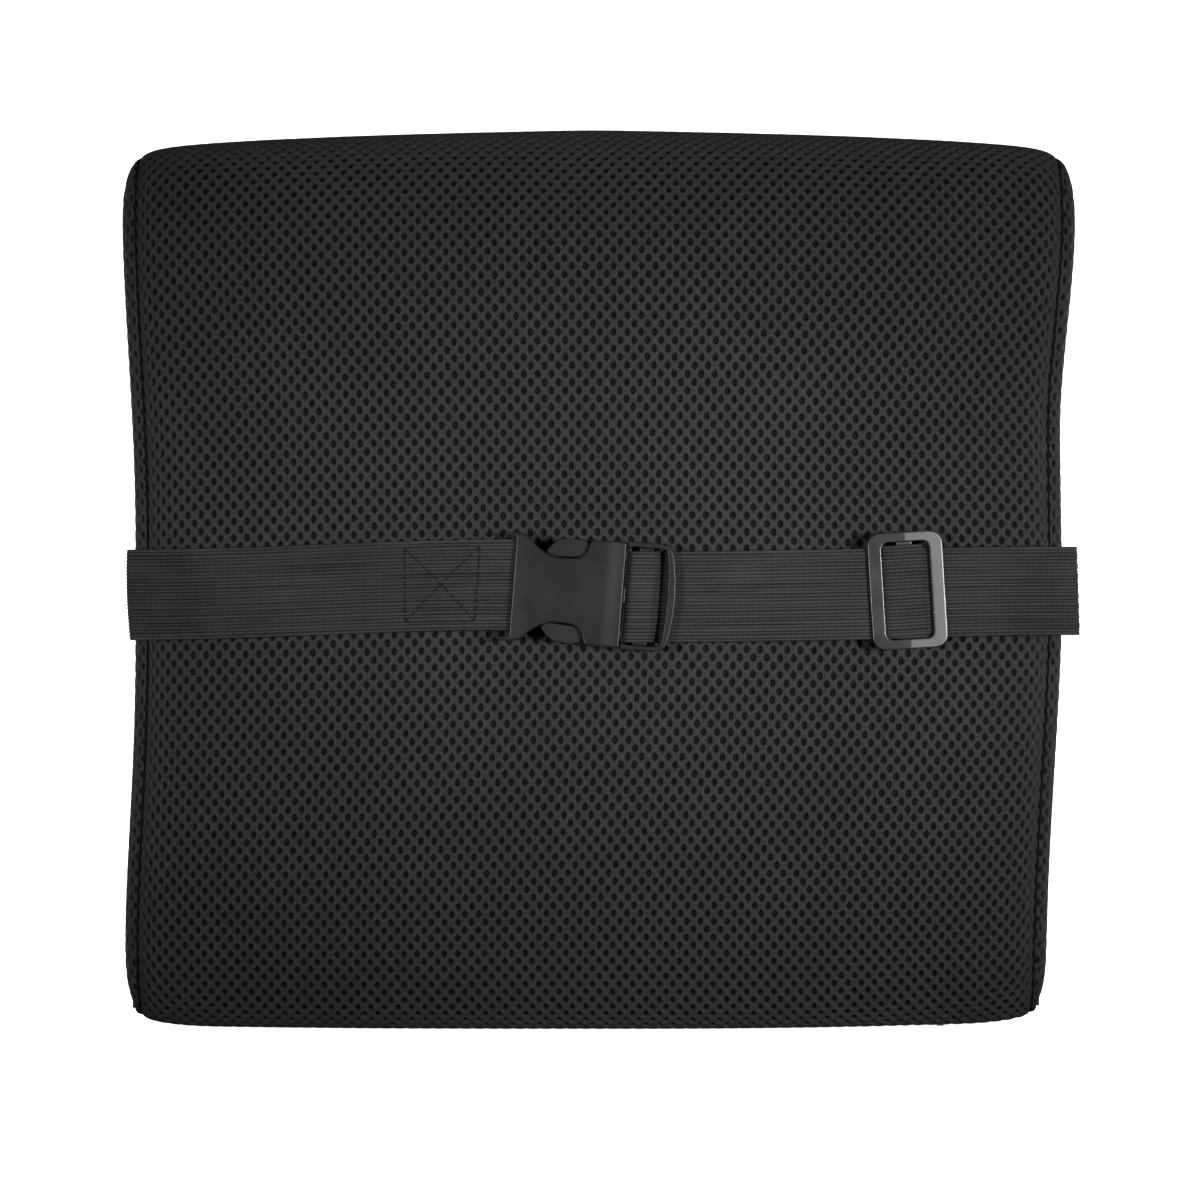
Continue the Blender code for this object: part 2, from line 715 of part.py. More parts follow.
def zipper_pull():
    """A flat tab that lies along the zip. It turns on a pin between the slider's lugs."""
    place = Vector((PULL_PIN_X, ZIP_MIDDLE, PULL_PIN_Z))
    made = rod("zipper_pull", (0, -2.2 * MM, 0), (0, 2.2 * MM, 0), 0.5 * MM, PARTS, ZIP_METAL, sides=12)
    made.location = place
    tab = outline_solid(
        "pull_tab_cutter", rounded_rectangle(PULL_LENGTH, 4.2 * MM, 1.6 * MM, 3), 0.8 * MM, 0.15 * MM, CUTTERS
    )
    tab.location = place - Vector((PULL_LENGTH / 2 - 0.4 * MM, 0, 0))
    boolean(made, tab, "UNION")


# ---------------------------------------------------------------- the whole object

clear_scene()
PARTS = collection("lumbar_support_cushion")
CUTTERS = collection("cutters", shown=False)

MESH_FABRIC = material("spacer_mesh", (0.035, 0.035, 0.037), 0.85)
LINER = material("liner_knit", (0.75, 0.75, 0.73), 0.9)
FOAM = material("memory_foam", (0.86, 0.83, 0.70), 0.9)
ELASTIC = material("elastic_webbing", (0.03, 0.03, 0.032), 0.75)
BUCKLE_PLASTIC = material("buckle_plastic", (0.03, 0.03, 0.03), 0.45)
ADJUSTER_METAL = material("adjuster_enamel", (0.03, 0.03, 0.032), 0.28)
TAPE_FABRIC = material("zip_tape", (0.02, 0.02, 0.02), 0.8)
ZIP_PLASTIC = material("zip_coil", (0.02, 0.02, 0.02), 0.5)
ZIP_METAL = material("zip_metal", (0.05, 0.05, 0.05), 0.4, metallic=0.8)

foam_core()
inner_liner()
cover_panel("cover_front_panel", 0, FRONT_STEPS, 0.0, GAP / 2)
cover_panel("cover_back_panel", FRONT_STEPS, FRONT_STEPS + BACK_STEPS, GAP / 2, 0.0)
side_gusset("cover_left_gusset", -1)
side_gusset("cover_right_gusset", 1)
left_strap()
right_strap()

buckle = frame_empty("buckle_frame", (BUCKLE_X, 0, BUCKLE_Z), BUCKLE_TILT)
buckle_body(buckle)
buckle_insert(buckle)
buckle_prong("buckle_prong_upper", 1, buckle)
buckle_prong("buckle_prong_lower", -1, buckle)

adjuster = frame_empty("adjuster_frame", (ADJUSTER_X, 0, ADJUSTER_Z), ADJUSTER_TILT)
strap_adjuster(adjuster)
adjuster_loop(adjuster)

zipper()
zipper_slider()
zipper_pull()

for cutter in CUTTERS.objects:
    cutter.hide_render = True
    cutter.display_type = "WIRE"
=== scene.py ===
"""The lumbar support cushion's looks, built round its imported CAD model.

Frame: +Z up, the strap side faces -Y, the user's side +Y. Lengths are in metres unless a name says otherwise.
"""

import math

import bmesh
import bpy
import numpy as np
from mathutils import Matrix, Vector
from mathutils.bvhtree import BVHTree
from mathutils.kdtree import KDTree


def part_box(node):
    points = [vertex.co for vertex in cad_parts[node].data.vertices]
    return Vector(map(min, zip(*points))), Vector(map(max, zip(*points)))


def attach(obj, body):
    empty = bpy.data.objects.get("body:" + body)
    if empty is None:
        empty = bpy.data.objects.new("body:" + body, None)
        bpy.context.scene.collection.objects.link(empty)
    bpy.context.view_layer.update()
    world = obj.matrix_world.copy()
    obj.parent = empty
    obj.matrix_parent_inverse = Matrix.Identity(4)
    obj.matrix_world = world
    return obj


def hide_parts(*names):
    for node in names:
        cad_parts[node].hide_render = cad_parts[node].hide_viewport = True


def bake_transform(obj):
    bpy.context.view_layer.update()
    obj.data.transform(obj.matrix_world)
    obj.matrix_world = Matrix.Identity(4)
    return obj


MM = 0.001
NO_PATH_RUNS_THIS_WAY = (0.31, 0.52, 0.79)  # a direction to cross a path's with

# Cushion
WRAP_HALF = 160.0
END_ROUND = 26.0
END_DROP = 11.0
TOP_CROWN = 0.018
TOP_FLARE = 0.035
STRAP_BULGE = 0.006  # share of the width that the sides stand out by at the strap
FLARE_Z = ((167.0, 305.0), (212.0, 294.0))  # heights over which the left and right sides flare out
LEAN = 4.6  # the cushion's foot sags this far to the left
BASE_LIFT = (2.4, 5.0)  # how far the base's left and right corners ride up on the strap side
HEIGHT_DROP = 0.35  # share of the turn-in by which the height drops too
FRONT_PROFILE = [
    (-6.6, 5.2), (-7.2, 2.4), (-5.2, 0.5), (0, 0), (10, 0), (22, 0), (33, 4), (41, 13), (47, 28), (52.5, 49),
    (57, 79), (58.5, 108), (55.5, 138), (48, 177), (39, 221), (32, 261.5), (27, 289.4), (22, 305.1), (14, 315.6),
]  # fmt: skip
BACK_PROFILE = [
    (2, 322.2), (-14, 324.7), (-29, 323.2), (-39.6, 316.4), (-44.9, 303.8), (-47.4, 285.4), (-48, 247), (-48, 211),
    (-47.6, 193), (-46.9, 183), (-46.7, 157), (-46.9, 132), (-47.6, 122), (-48, 98), (-48, 59), (-47.6, 36),
    (-45.5, 19), (-41, 7), (-34, 1), (-27, 0.4), (-25.0, 2.4), (-25.6, 5.2),
]  # fmt: skip
PROFILE_MIDDLE = np.array((5.0, 160.0))
PROFILE_HALF = np.array((50.0, 157.0))
SHAPE_STEP = 6.0  # spacing of the shape's grid
GUSSET_RINGS = [(1.8, -0.3), (3.9, 0.9), (5.0, 4.2), (5.3, 10.0), (5.4, 18.0), (5.4, 27.0), (5.4, 35.0)]
GUSSET_FADE = (134.0, 154.0)  # the gusset rounds off this far above and below the middle
EDGE_TUCK = 4.0  # how far the wrap's side edges are tucked in behind the gussets
EDGE_SPREAD = 26.0  # width of the border over which the gusset's fabric is stretched round its rounded edge

# Mesh fabric
HOLE_PITCH = 4.7
ROW_PITCH = 2.95
HOLE_SIZE = (0.96, 1.5)
KNIT_DRIFT = 0.35
FABRIC_DEPTH = 1.7
FABRIC_THICK = 4.3
SEAM_DIP = 0.6
SEAM_WIDTH = 2.0
BINDING_RADIUS = 2.1
BINDING_DEPTH = 3.0
LINER_INSET = 6.3
FOAM_INSET = 7.6

# Swelling of the cover over its foam
DRAWN_IN = 1.0  # the form starts this much smaller away from its seams
VOXEL = 5.5
PRESSURE = 4.0
SIM_FRAMES = 20
MOST_SWELL = 4.2
HELD_EDGE = 8.0  # the cover can't move this near to a seam

# Webbing
WEB_WIDTH = 32.0
WEB_THICK = 1.3
WEB_RIBS = 27
RIB_DEPTH = 0.3
RIB_WAVE = 2 * math.pi * WEB_RIBS / (20 * WEB_WIDTH)  # a wave texture's scale that matches the ribs, used to paint shade into the grooves between them
STITCH_LENGTH = 2.9
THREAD_RADIUS = 0.24
STRAP_Z = 157.6

# Zip
COIL_PITCH = 1.5
COIL_WIRE = 0.36

# Buckle and adjuster, each in its own frame
BUCKLE_PLACE = (-12.0, 157.7)
BUCKLE_TILT = math.radians(4.5)
ADJUSTER_PLACE = (108.3, 157.8)
ADJUSTER_TILT = math.radians(-3.5)

rng = np.random.default_rng(7)


# ---------------------------------------------------------------- materials


class Surface:
    """A Principled material and short ways to add nodes to it."""

    def __init__(self, name, colour, roughness, metallic=0.0, **sockets):
        self.material = bpy.data.materials.new(name)
        self.material.use_nodes = True
        self.tree = self.material.node_tree
        self.shader = self.tree.nodes["Principled BSDF"]
        self.put("Base Color", (*colour, 1.0))
        self.put("Roughness", roughness)
        self.put("Metallic", metallic)
        for key, value in sockets.items():
            self.put(key.replace("_", " "), value)

    def put(self, socket, value):
        self.shader.inputs[socket].default_value = value

    def node(self, kind, **values):
        made = self.tree.nodes.new("ShaderNode" + kind)
        for key, value in values.items():
            if key in made.inputs:
                made.inputs[key].default_value = value
            else:
                setattr(made, key, value)
        return made

    def link(self, source, target):
        self.tree.links.new(source, target)

    def place(self, source="Object", scale=(1, 1, 1)):
        """Coordinates in metres (Object) or in mm along the cloth (UV), scaled."""
        where = self.node("TexCoord")
        mapping = self.node("Mapping")
        mapping.inputs["Scale"].default_value = scale
        self.link(where.outputs[source], mapping.inputs["Vector"])
        return mapping.outputs["Vector"]

    def noise(self, vector, scale, detail=3.0, roughness=0.55):
        made = self.node("TexNoise", Scale=scale, Detail=detail, Roughness=roughness)
        self.link(vector, made.inputs["Vector"])
        return made.outputs["Fac"]

    def wave(self, vector, scale, direction="X", distortion=0.0):
        made = self.node("TexWave", Scale=scale, Distortion=distortion)
        made.bands_direction = direction
        self.link(vector, made.inputs["Vector"])
        return made.outputs["Fac"]

    def remap(self, value, low, high, start=0.0, stop=1.0):
        made = self.node("MapRange")
        self.link(value, made.inputs["Value"])
        for key, number in (("From Min", start), ("From Max", stop), ("To Min", low), ("To Max", high)):
            made.inputs[key].default_value = number
        return made.outputs["Result"]

    def maths(self, operation, a, b):
        made = self.node("Math", operation=operation)
        for k, value in enumerate((a, b)):
            if isinstance(value, (int, float)):
                made.inputs[k].default_value = value
            else:
                self.link(value, made.inputs[k])
        return made.outputs["Value"]

    def between(self, factor, first, second):
        made = self.node("Mix", data_type="RGBA")
        made.inputs["A"].default_value = (*first, 1.0)
        made.inputs["B"].default_value = (*second, 1.0)
        self.link(factor, made.inputs["Factor"])
        return made.outputs["Result"]

    def bump(self, height, distance, strength=1.0):
        made = self.node("Bump", Distance=distance, Strength=strength)
        self.link(height, made.inputs["Height"])
        self.link(made.outputs["Normal"], self.shader.inputs["Normal"])


def mesh_fabric_surface(name, dark, light, sheen):
    """Knitted polyester: paired wales along the cloth, uneven yarn, faint broad shading."""
    made = Surface(name, dark, 0.85, Sheen_Weight=sheen, Sheen_Roughness=0.45, Specular_IOR_Level=0.1)
    made.put("Sheen Tint", (0.85, 0.87, 0.9, 1.0))
    cloth = made.place("UV")
    wale = made.wave(cloth, 0.34, "X", 0.6)
    course = made.wave(cloth, 0.54, "Y", 1.2)
    yarn = made.noise(cloth, 1.9, 2.0)
    patches = made.noise(made.place("Object", (1, 1, 1)), 14.0, 2.0)
    fibres = made.noise(made.place("UV", (1.6, 0.35, 1)), 2.4, 3.0, 0.7)
    knit = made.maths("ADD", made.maths("MULTIPLY", wale, 0.45), made.maths("MULTIPLY", course, 0.25))
    knit = made.maths("ADD", knit, made.maths("MULTIPLY", yarn, 0.5))
    strands = made.remap(fibres, -0.3, 0.5, 0.3, 0.7)
    tone = made.maths("ADD", made.maths("MULTIPLY", knit, 0.5), made.maths("MULTIPLY", patches, 0.5))
    tone = made.maths("ADD", tone, strands)
    made.link(made.between(tone, dark, light), made.shader.inputs["Base Color"])
    made.link(made.remap(yarn, 0.78, 0.95), made.shader.inputs["Roughness"])
    made.bump(made.maths("ADD", knit, strands), 0.00028, 0.9)
    return made.material


def webbing_surface(name, dark, light):
    """Elastic webbing: picks across the rubber cores, fuzzy yarn between the ribs, and painted shade darkening the
    grooves between the ribs.
    """
    made = Surface(name, dark, 0.8, Sheen_Weight=0.05, Sheen_Roughness=0.4, Specular_IOR_Level=0.12)
    made.put("Sheen Tint", (0.85, 0.87, 0.9, 1.0))
    cloth = made.place("UV")
    picks = made.wave(cloth, 0.42, "X", 0.8)
    yarn = made.noise(cloth, 3.1, 3.0)
    worn = made.noise(made.place("Object"), 40.0, 3.0)
    # painted shade: this wave peaks in the grooves between the ribs, and the colour is darkened there
    groove_shade = made.wave(cloth, RIB_WAVE, "Y")
    weave = made.maths("ADD", made.maths("MULTIPLY", picks, 0.6), made.maths("MULTIPLY", yarn, 0.5))
    tone = made.maths("ADD", made.maths("MULTIPLY", weave, 0.5), made.maths("MULTIPLY", worn, 0.5))
    each_rib = made.noise(made.place("UV", (0.02, 1.0, 1)), 0.9, 2.0)
    tone = made.maths("SUBTRACT", made.maths("ADD", tone, 0.2), made.maths("MULTIPLY", groove_shade, 0.62))
    tone = made.maths("ADD", tone, made.remap(each_rib, -0.22, 0.22, 0.3, 0.7))
    made.link(made.between(tone, dark, light), made.shader.inputs["Base Color"])
    made.link(made.remap(yarn, 0.68, 0.9), made.shader.inputs["Roughness"])
    made.bump(weave, 0.00018, 0.8)
    return made.material


def moulded_surface(name, dark, light, rough, grain=0.00003):
    """Moulded plastic with a fine spark-eroded grain and slight handling marks."""
    made = Surface(name, dark, rough[0], Specular_IOR_Level=0.15)
    where = made.place("Object")
    grained = made.noise(where, 2600.0, 2.0)
    worn = made.noise(where, 55.0, 5.0, 0.65)
    made.link(made.between(worn, dark, light), made.shader.inputs["Base Color"])
    made.link(made.remap(worn, rough[0], rough[1], 0.3, 0.7), made.shader.inputs["Roughness"])
    made.bump(grained, grain, 0.6)
    return made.material


def metal_surface(name, dark, light, rough, metallic, grain=0.00001):
    made = Surface(name, dark, rough[0], metallic, Specular_IOR_Level=0.3)
    where = made.place("Object")
    worn = made.noise(where, 70.0, 4.0, 0.6)
    fine = made.noise(where, 1500.0, 2.0)
    made.link(made.between(worn, dark, light), made.shader.inputs["Base Color"])
    made.link(made.remap(worn, rough[0], rough[1], 0.3, 0.7), made.shader.inputs["Roughness"])
    made.bump(fine, grain, 0.4)
    return made.material


def foam_surface(name):
    made = Surface(name, (0.86, 0.83, 0.70), 0.9)
    where = made.place("Object")
    cells = made.noise(where, 900.0, 3.0)
    made.link(made.between(cells, (0.80, 0.76, 0.60), (0.9, 0.87, 0.76)), made.shader.inputs["Base Color"])
    made.bump(cells, 0.0002, 0.6)
    return made.material


# ---------------------------------------------------------------- mesh helpers


def mesh_object(name, points, faces, material, uv=None, smooth=True):
    """A mesh from arrays. Faces all have the same number of corners, or are a list of arrays."""
    groups = faces if isinstance(faces, list) else [faces]
    corners = np.concatenate([g.reshape(-1) for g in groups]).astype(np.int32)
    sizes = np.concatenate([np.full(len(g), g.shape[1]) for g in groups]).astype(np.int32)
    mesh = bpy.data.meshes.new(name)
    mesh.vertices.add(len(points))
    mesh.vertices.foreach_set("co", np.ascontiguousarray(points, np.float32).reshape(-1))
    mesh.loops.add(len(corners))
    mesh.loops.foreach_set("vertex_index", corners)
    mesh.polygons.add(len(sizes))
    mesh.polygons.foreach_set("loop_start", np.concatenate([[0], np.cumsum(sizes)[:-1]]).astype(np.int32))
    mesh.polygons.foreach_set("loop_total", sizes)
    if uv is not None:
        layer = mesh.uv_layers.new(name="cloth")
        layer.data.foreach_set("uv", np.ascontiguousarray(uv[corners], np.float32).reshape(-1))
    mesh.update(calc_edges=True)
    mesh.validate()
    if smooth:
        mesh.shade_smooth()
    for finish in material if isinstance(material, list) else [material]:
        mesh.materials.append(finish)
    return linked(bpy.data.objects.new(name, mesh))


def linked(made):
    """The object, put into the scene."""
    bpy.context.scene.collection.objects.link(made)
    return made


def object_of(shape, name):
    """An object from a bmesh, which is freed."""
    mesh = bpy.data.meshes.new(name)
    shape.to_mesh(mesh)
    shape.free()
    return linked(bpy.data.objects.new(name, mesh))


def unit(rows):
    """The rows of vectors at length one. A row of zeros stays as it is."""
    return rows / np.maximum(np.linalg.norm(rows, axis=-1, keepdims=True), 1e-9)


def ring_quads(index):
    """Faces between neighbouring rings of point numbers, each ring closed."""
    following = np.roll(index, -1, axis=1)
    return np.stack([index[:-1], following[:-1], following[1:], index[1:]], axis=-1).reshape(-1, 4)


def sheet_quads(index):
    """Faces of a grid of point numbers, and the points round its border."""
    quads = np.stack([index[:-1, :-1], index[1:, :-1], index[1:, 1:], index[:-1, 1:]], axis=-1).reshape(-1, 4)
    return quads, np.concatenate([index[:-1, 0], index[-1, :-1], index[:0:-1, -1], index[0, :0:-1]])


def border_walls(border, count):
    """Faces that join a border to the same border of a second sheet, whose points come count later."""
    return np.stack([border, border + count, np.roll(border, -1) + count, np.roll(border, -1)], axis=-1)


def spline_points(anchors, per_span=8):
    """Points along a Catmull-Rom curve through the anchors."""
    line = np.array(anchors, float)
    line = np.vstack([2 * line[0] - line[1], line, 2 * line[-1] - line[-2]])
    t = np.arange(per_span)[:, None] / per_span
    spans = []
    for a, b, c, d in zip(line, line[1:], line[2:], line[3:]):
        square, cube = 2 * a - 5 * b + 4 * c - d, 3 * b - a - 3 * c + d
        spans.append(0.5 * (2 * b + (c - a) * t + square * t**2 + cube * t**3))
    return np.vstack([*spans, line[-2]])


def lengths_along(points):
    return np.concatenate([[0], np.cumsum(np.linalg.norm(np.diff(points, axis=0), axis=1))])


def at_lengths(points, along, wanted):
    return np.stack([np.interp(wanted, along, points[:, k]) for k in range(points.shape[1])], axis=-1)


def ease(value, start, end):
    share = np.clip((value - start) / (end - start), 0.0, 1.0)
    return share * share * (3 - 2 * share)


def spline_weights(t):
    """Uniform cubic B-spline weights of four neighbouring control points, and their derivatives."""
    weights = np.stack([(1 - t) ** 3, 3 * t**3 - 6 * t**2 + 4, -3 * t**3 + 3 * t**2 + 3 * t + 1, t**3]) / 6
    slopes = np.stack([-((1 - t) ** 2), 3 * t**2 - 4 * t, -3 * t**2 + 2 * t + 1, t**2]) / 2
    return weights, slopes


def on_grid(grid, a, b):
    """Points and unit normals of the B-spline surface over grid[rows, columns], at grid places (a, b)."""
    pad = np.concatenate([2 * grid[:1] - grid[1:2], grid, 2 * grid[-1:] - grid[-2:-1]])
    pad = np.concatenate([2 * pad[:, :1] - pad[:, 1:2], pad, 2 * pad[:, -1:] - pad[:, -2:-1]], axis=1)
    i = np.clip(np.floor(a).astype(int), 0, grid.shape[0] - 2)
    j = np.clip(np.floor(b).astype(int), 0, grid.shape[1] - 2)
    wa, sa = spline_weights(a - i)
    wb, sb = spline_weights(b - j)
    point, along_a, along_b = (np.zeros((len(a), 3)) for _ in range(3))
    for m in range(4):
        for n in range(4):
            here = pad[i + m, j + n]
            point += (wa[m] * wb[n])[:, None] * here
            along_a += (sa[m] * wb[n])[:, None] * here
            along_b += (wa[m] * sb[n])[:, None] * here
    normal = np.cross(along_b, along_a)
    return point, normal / np.maximum(np.linalg.norm(normal, axis=1, keepdims=True), 1e-12)


# ---------------------------------------------------------------- the cushion's soft shape


def profile_lines():
    """Front and back profile as even points, and how long each is."""
    line = spline_points(FRONT_PROFILE + BACK_PROFILE)
    seam = (len(FRONT_PROFILE) - 1) * 8
    parts = []
    for piece in (line[: seam + 1], line[seam:]):
        along = lengths_along(piece)
        steps = round(along[-1] / SHAPE_STEP)
        parts.append((at_lengths(piece, along, np.linspace(0, along[-1], steps + 1)), along[-1]))
    return parts


def turn_in(x):
    share = np.clip((np.abs(x) - (WRAP_HALF - END_ROUND)) / END_ROUND, 0.0, 1.0)
    return END_DROP * (1 - np.sqrt(1 - 0.98 * share**2))


def cross_stations():
    """(x, turn) at even lengths along the wrap from side to side, and the whole length."""
    x = np.linspace(-WRAP_HALF, WRAP_HALF, 2001)
    turn = turn_in(x)
    along = lengths_along(np.stack([x, turn], axis=1))
    steps = round(along[-1] / SHAPE_STEP)
    wanted = np.linspace(0, along[-1], steps + 1)
    edge = WRAP_HALF - 0.5
    stations = np.concatenate([[-edge], np.interp(wanted, along, x), [edge]])
    tucked = turn[-1] + EDGE_TUCK
    turns = np.concatenate([[tucked], np.interp(wanted, along, turn), [tucked]])
    return stations, turns, along[-1] + 2 * EDGE_TUCK


def section(x, line, turn):
    """The profile at x, drawn in towards its middle by turn on every side."""
    crown = 1 - TOP_CROWN * (x / WRAP_HALF) ** 2
    away = (line - PROFILE_MIDDLE) * (1 - turn * np.array((1.0, HEIGHT_DROP)) / PROFILE_HALF)
    y = PROFILE_MIDDLE[0] + away[:, 0]
    z = (PROFILE_MIDDLE[1] + away[:, 1]) * crown
    hand = 1 if x > 0 else 0
    bulge = STRAP_BULGE * np.exp(-(((z - STRAP_Z) / 40.0) ** 2))
    wide = 1 + TOP_FLARE * ease(z, *FLARE_Z[hand]) + bulge
    share = np.clip(abs(x) / WRAP_HALF, 0, 1) ** 2.6 * (1 - ease(z, 0.0, 90.0)) * (1 - 0.7 * ease(y, -38.0, -26.0))
    lift = BASE_LIFT[hand] * share
    return np.stack([x * wide - LEAN * (1 - ease(z, 20.0, 150.0)), y, z + lift], axis=1)


def soft_shape():
    """The wrap as a grid [across, along the profile], and each gusset as rings that shrink to its middle."""
    (front, front_length), (back, back_length) = profile_lines()
    line = np.vstack([front, back[1:]])
    xs, turns, across = cross_stations()
    wrap = np.stack([section(x, line, turn) for x, turn in zip(xs, turns)])
    closed = np.vstack([line, [(-16.0, 0.4)]])
    closed[[0, -2], 1] = 0.4  # the zip stops short of the gussets, so they have no lips
    gussets = {}
    for side in (-1, 1):
        rings = [section(side * WRAP_HALF, closed, turn_in(WRAP_HALF))]
        for out, turn in GUSSET_RINGS:
            ring = section(side * (WRAP_HALF + out), closed, turn_in(WRAP_HALF) + turn)
            near, far = GUSSET_FADE
            share = np.clip((np.abs(ring[:, 2] - PROFILE_MIDDLE[1]) - near) / (far - near), 0, 1)
            ring[:, 0] -= side * 0.85 * out * (1 - (1 - share**2) ** 0.7)
            rings.append(ring)
        gussets[side] = np.stack(rings)
    return {
        "wrap": wrap,
        "gussets": gussets,
        "split": len(front) - 1,
        "front_length": front_length,
        "back_length": back_length,
        "across": across,
    }


def whole_skin(shape):
    """The cushion as one run of closed rings from its left middle to its right middle, without the zip's lips."""
    wrap = shape["wrap"][1:-1, 2:-1]
    left = shape["gussets"][-1][:0:-1, 2:-2]
    right = shape["gussets"][1][1:, 2:-2]
    return np.concatenate([left, wrap, right])


def skin_mesh(name, rings):
    """A closed mesh over the rings, with each end ring filled across."""
    count = rings.shape[1]
    index = np.arange(rings.shape[0] * count).reshape(-1, count)
    near = np.arange((count - 1) // 2)
    far = count - 1 - near
    caps = [np.stack([row[near], row[near + 1], row[far - 1], row[far]], axis=-1) for row in (index[0], index[-1])]
    made = mesh_object(name, rings.reshape(-1, 3) * MM, np.vstack([ring_quads(index), *caps]), [])
    fix_normals(made)
    return made


def points_of(mesh, what="co"):
    """The mesh's points, or with "normal" their normals."""
    values = np.empty(len(mesh.vertices) * 3, np.float32)
    mesh.vertices.foreach_get(what, values)
    return values.reshape(-1, 3).astype(float)


def evaluated(made):
    graph = bpy.context.evaluated_depsgraph_get()
    return bpy.data.meshes.new_from_object(made.evaluated_get(graph))


def voxel_copy(name, rings, size, inset=0.0, relax=2):
    """The skin moved inwards by inset and remeshed evenly."""
    made = skin_mesh(name, rings)
    if inset:
        moved = points_of(made.data) - points_of(made.data, "normal") * inset * MM
        made.data.vertices.foreach_set("co", moved.astype(np.float32).reshape(-1))
    remesh = made.modifiers.new("even", "REMESH")
    remesh.mode = "VOXEL"
    remesh.voxel_size = size * MM
    relaxed = made.modifiers.new("relaxed", "SMOOTH")
    relaxed.factor = 0.5
    relaxed.iterations = relax
    mesh = evaluated(made)
    made.modifiers.clear()
    made.data = mesh
    mesh.shade_smooth()
    return made


def seam_distances(shape):
    """How far each point of the wrap and of the gussets is from its nearest seam, in mm."""
    rows, columns = shape["wrap"].shape[:2]
    sides = np.minimum(np.arange(rows), np.arange(rows)[::-1]) * shape["across"] / (rows - 1)
    place = np.arange(columns)
    ends = np.minimum.reduce([np.abs(place - shape["split"]), place, place[::-1]]) * SHAPE_STEP
    wrap = np.minimum(sides[:, None], ends[None])
    steps = np.array([0.0] + [turn + 0.4 for _, turn in GUSSET_RINGS])
    gusset = np.broadcast_to(steps[:, None], shape["gussets"][1].shape[:2])
    return wrap, gusset


def drawn_in(grid, distance, by):
    """Moves a grid of points towards the cushion's middle, more where it is far from a seam."""
    middle = np.array((0.0, *PROFILE_MIDDLE))
    away = (grid - middle) / np.array((WRAP_HALF, *PROFILE_HALF))
    away = unit(away * np.abs(away) ** 3)
    return grid - away * (by * ease(distance, HELD_EDGE, 32.0))[..., None]


def nearest_values(places, values, wanted, count=6):
    """Values at the wanted points, from the nearest places, nearer ones counting for more."""
    tree = KDTree(len(places))
    for k, place in enumerate(places):
        tree.insert(place, k)
    tree.balance()
    found = np.empty((len(wanted), values.shape[1]))
    for k, point in enumerate(wanted):
        near = tree.find_n(point, count)
        share = np.array([1.0 / (gap + 0.5) for _, _, gap in near])
        found[k] = share @ values[[index for _, index, _ in near]] / share.sum()
    return found


def swollen(shape):
    """The soft shape after its cover is blown out over the foam by a cloth simulation, held at its seams."""
    wrap_gap, gusset_gap = seam_distances(shape)
    start = dict(shape)
    start["wrap"] = drawn_in(shape["wrap"], wrap_gap, DRAWN_IN)
    start["gussets"] = {side: drawn_in(shape["gussets"][side], gusset_gap, DRAWN_IN) for side in (-1, 1)}
    pieces = [start["wrap"], start["gussets"][-1], start["gussets"][1]]
    gaps = np.concatenate([wrap_gap.reshape(-1), gusset_gap.reshape(-1), gusset_gap.reshape(-1)])
    places = np.concatenate([piece.reshape(-1, 3) for piece in pieces])

    body = voxel_copy("swelling_cover", whole_skin(start), VOXEL)
    before = points_of(body.data) / MM
    gap = nearest_values(places, gaps[:, None], before, 3)[:, 0]
    under_strap = (np.abs(before[:, 2] - STRAP_Z) < 21.0) & (before[:, 1] < -38.0)
    held = body.vertex_groups.new(name="held")
    for index in np.nonzero((gap < HELD_EDGE) | under_strap | (before[:, 2] < 7.0))[0]:
        held.add([int(index)], 1.0, "REPLACE")
    cloth = body.modifiers.new("cloth", "CLOTH")
    settings = cloth.settings
    settings.mass = 0.35
    settings.tension_stiffness = settings.compression_stiffness = 12.0
    settings.shear_stiffness = 6.0
    settings.bending_stiffness = 0.8
    settings.use_pressure = True
    settings.uniform_pressure_force = PRESSURE
    settings.effector_weights.gravity = 0.0
    settings.vertex_group_mass = "held"
    settings.pin_stiffness = 1.0
    scene = bpy.context.scene
    for frame_number in range(1, SIM_FRAMES + 1):
        scene.frame_set(frame_number)
    after = points_of(evaluated(body)) / MM
    scene.frame_set(1)
    bpy.data.objects.remove(body)

    moved = after - before
    length = np.maximum(np.linalg.norm(moved, axis=1, keepdims=True), 1e-9)
    moved *= MOST_SWELL * np.tanh(length / MOST_SWELL) / length
    print("swelling, mm: most", round(float(length.max()), 2), "middle", round(float(np.median(length)), 2))
    change = nearest_values(before, moved, places)
    done, begin = [], 0
    for piece in pieces:
        size = piece.shape[0] * piece.shape[1]
        done.append(piece + change[begin : begin + size].reshape(piece.shape))
        begin += size
    start["wrap"], start["gussets"] = done[0], {-1: done[1], 1: done[2]}
    for side, row in ((-1, 1), (1, -2)):
        start["gussets"][side][0, 1:-2] = start["wrap"][row][1:-1]
    return start


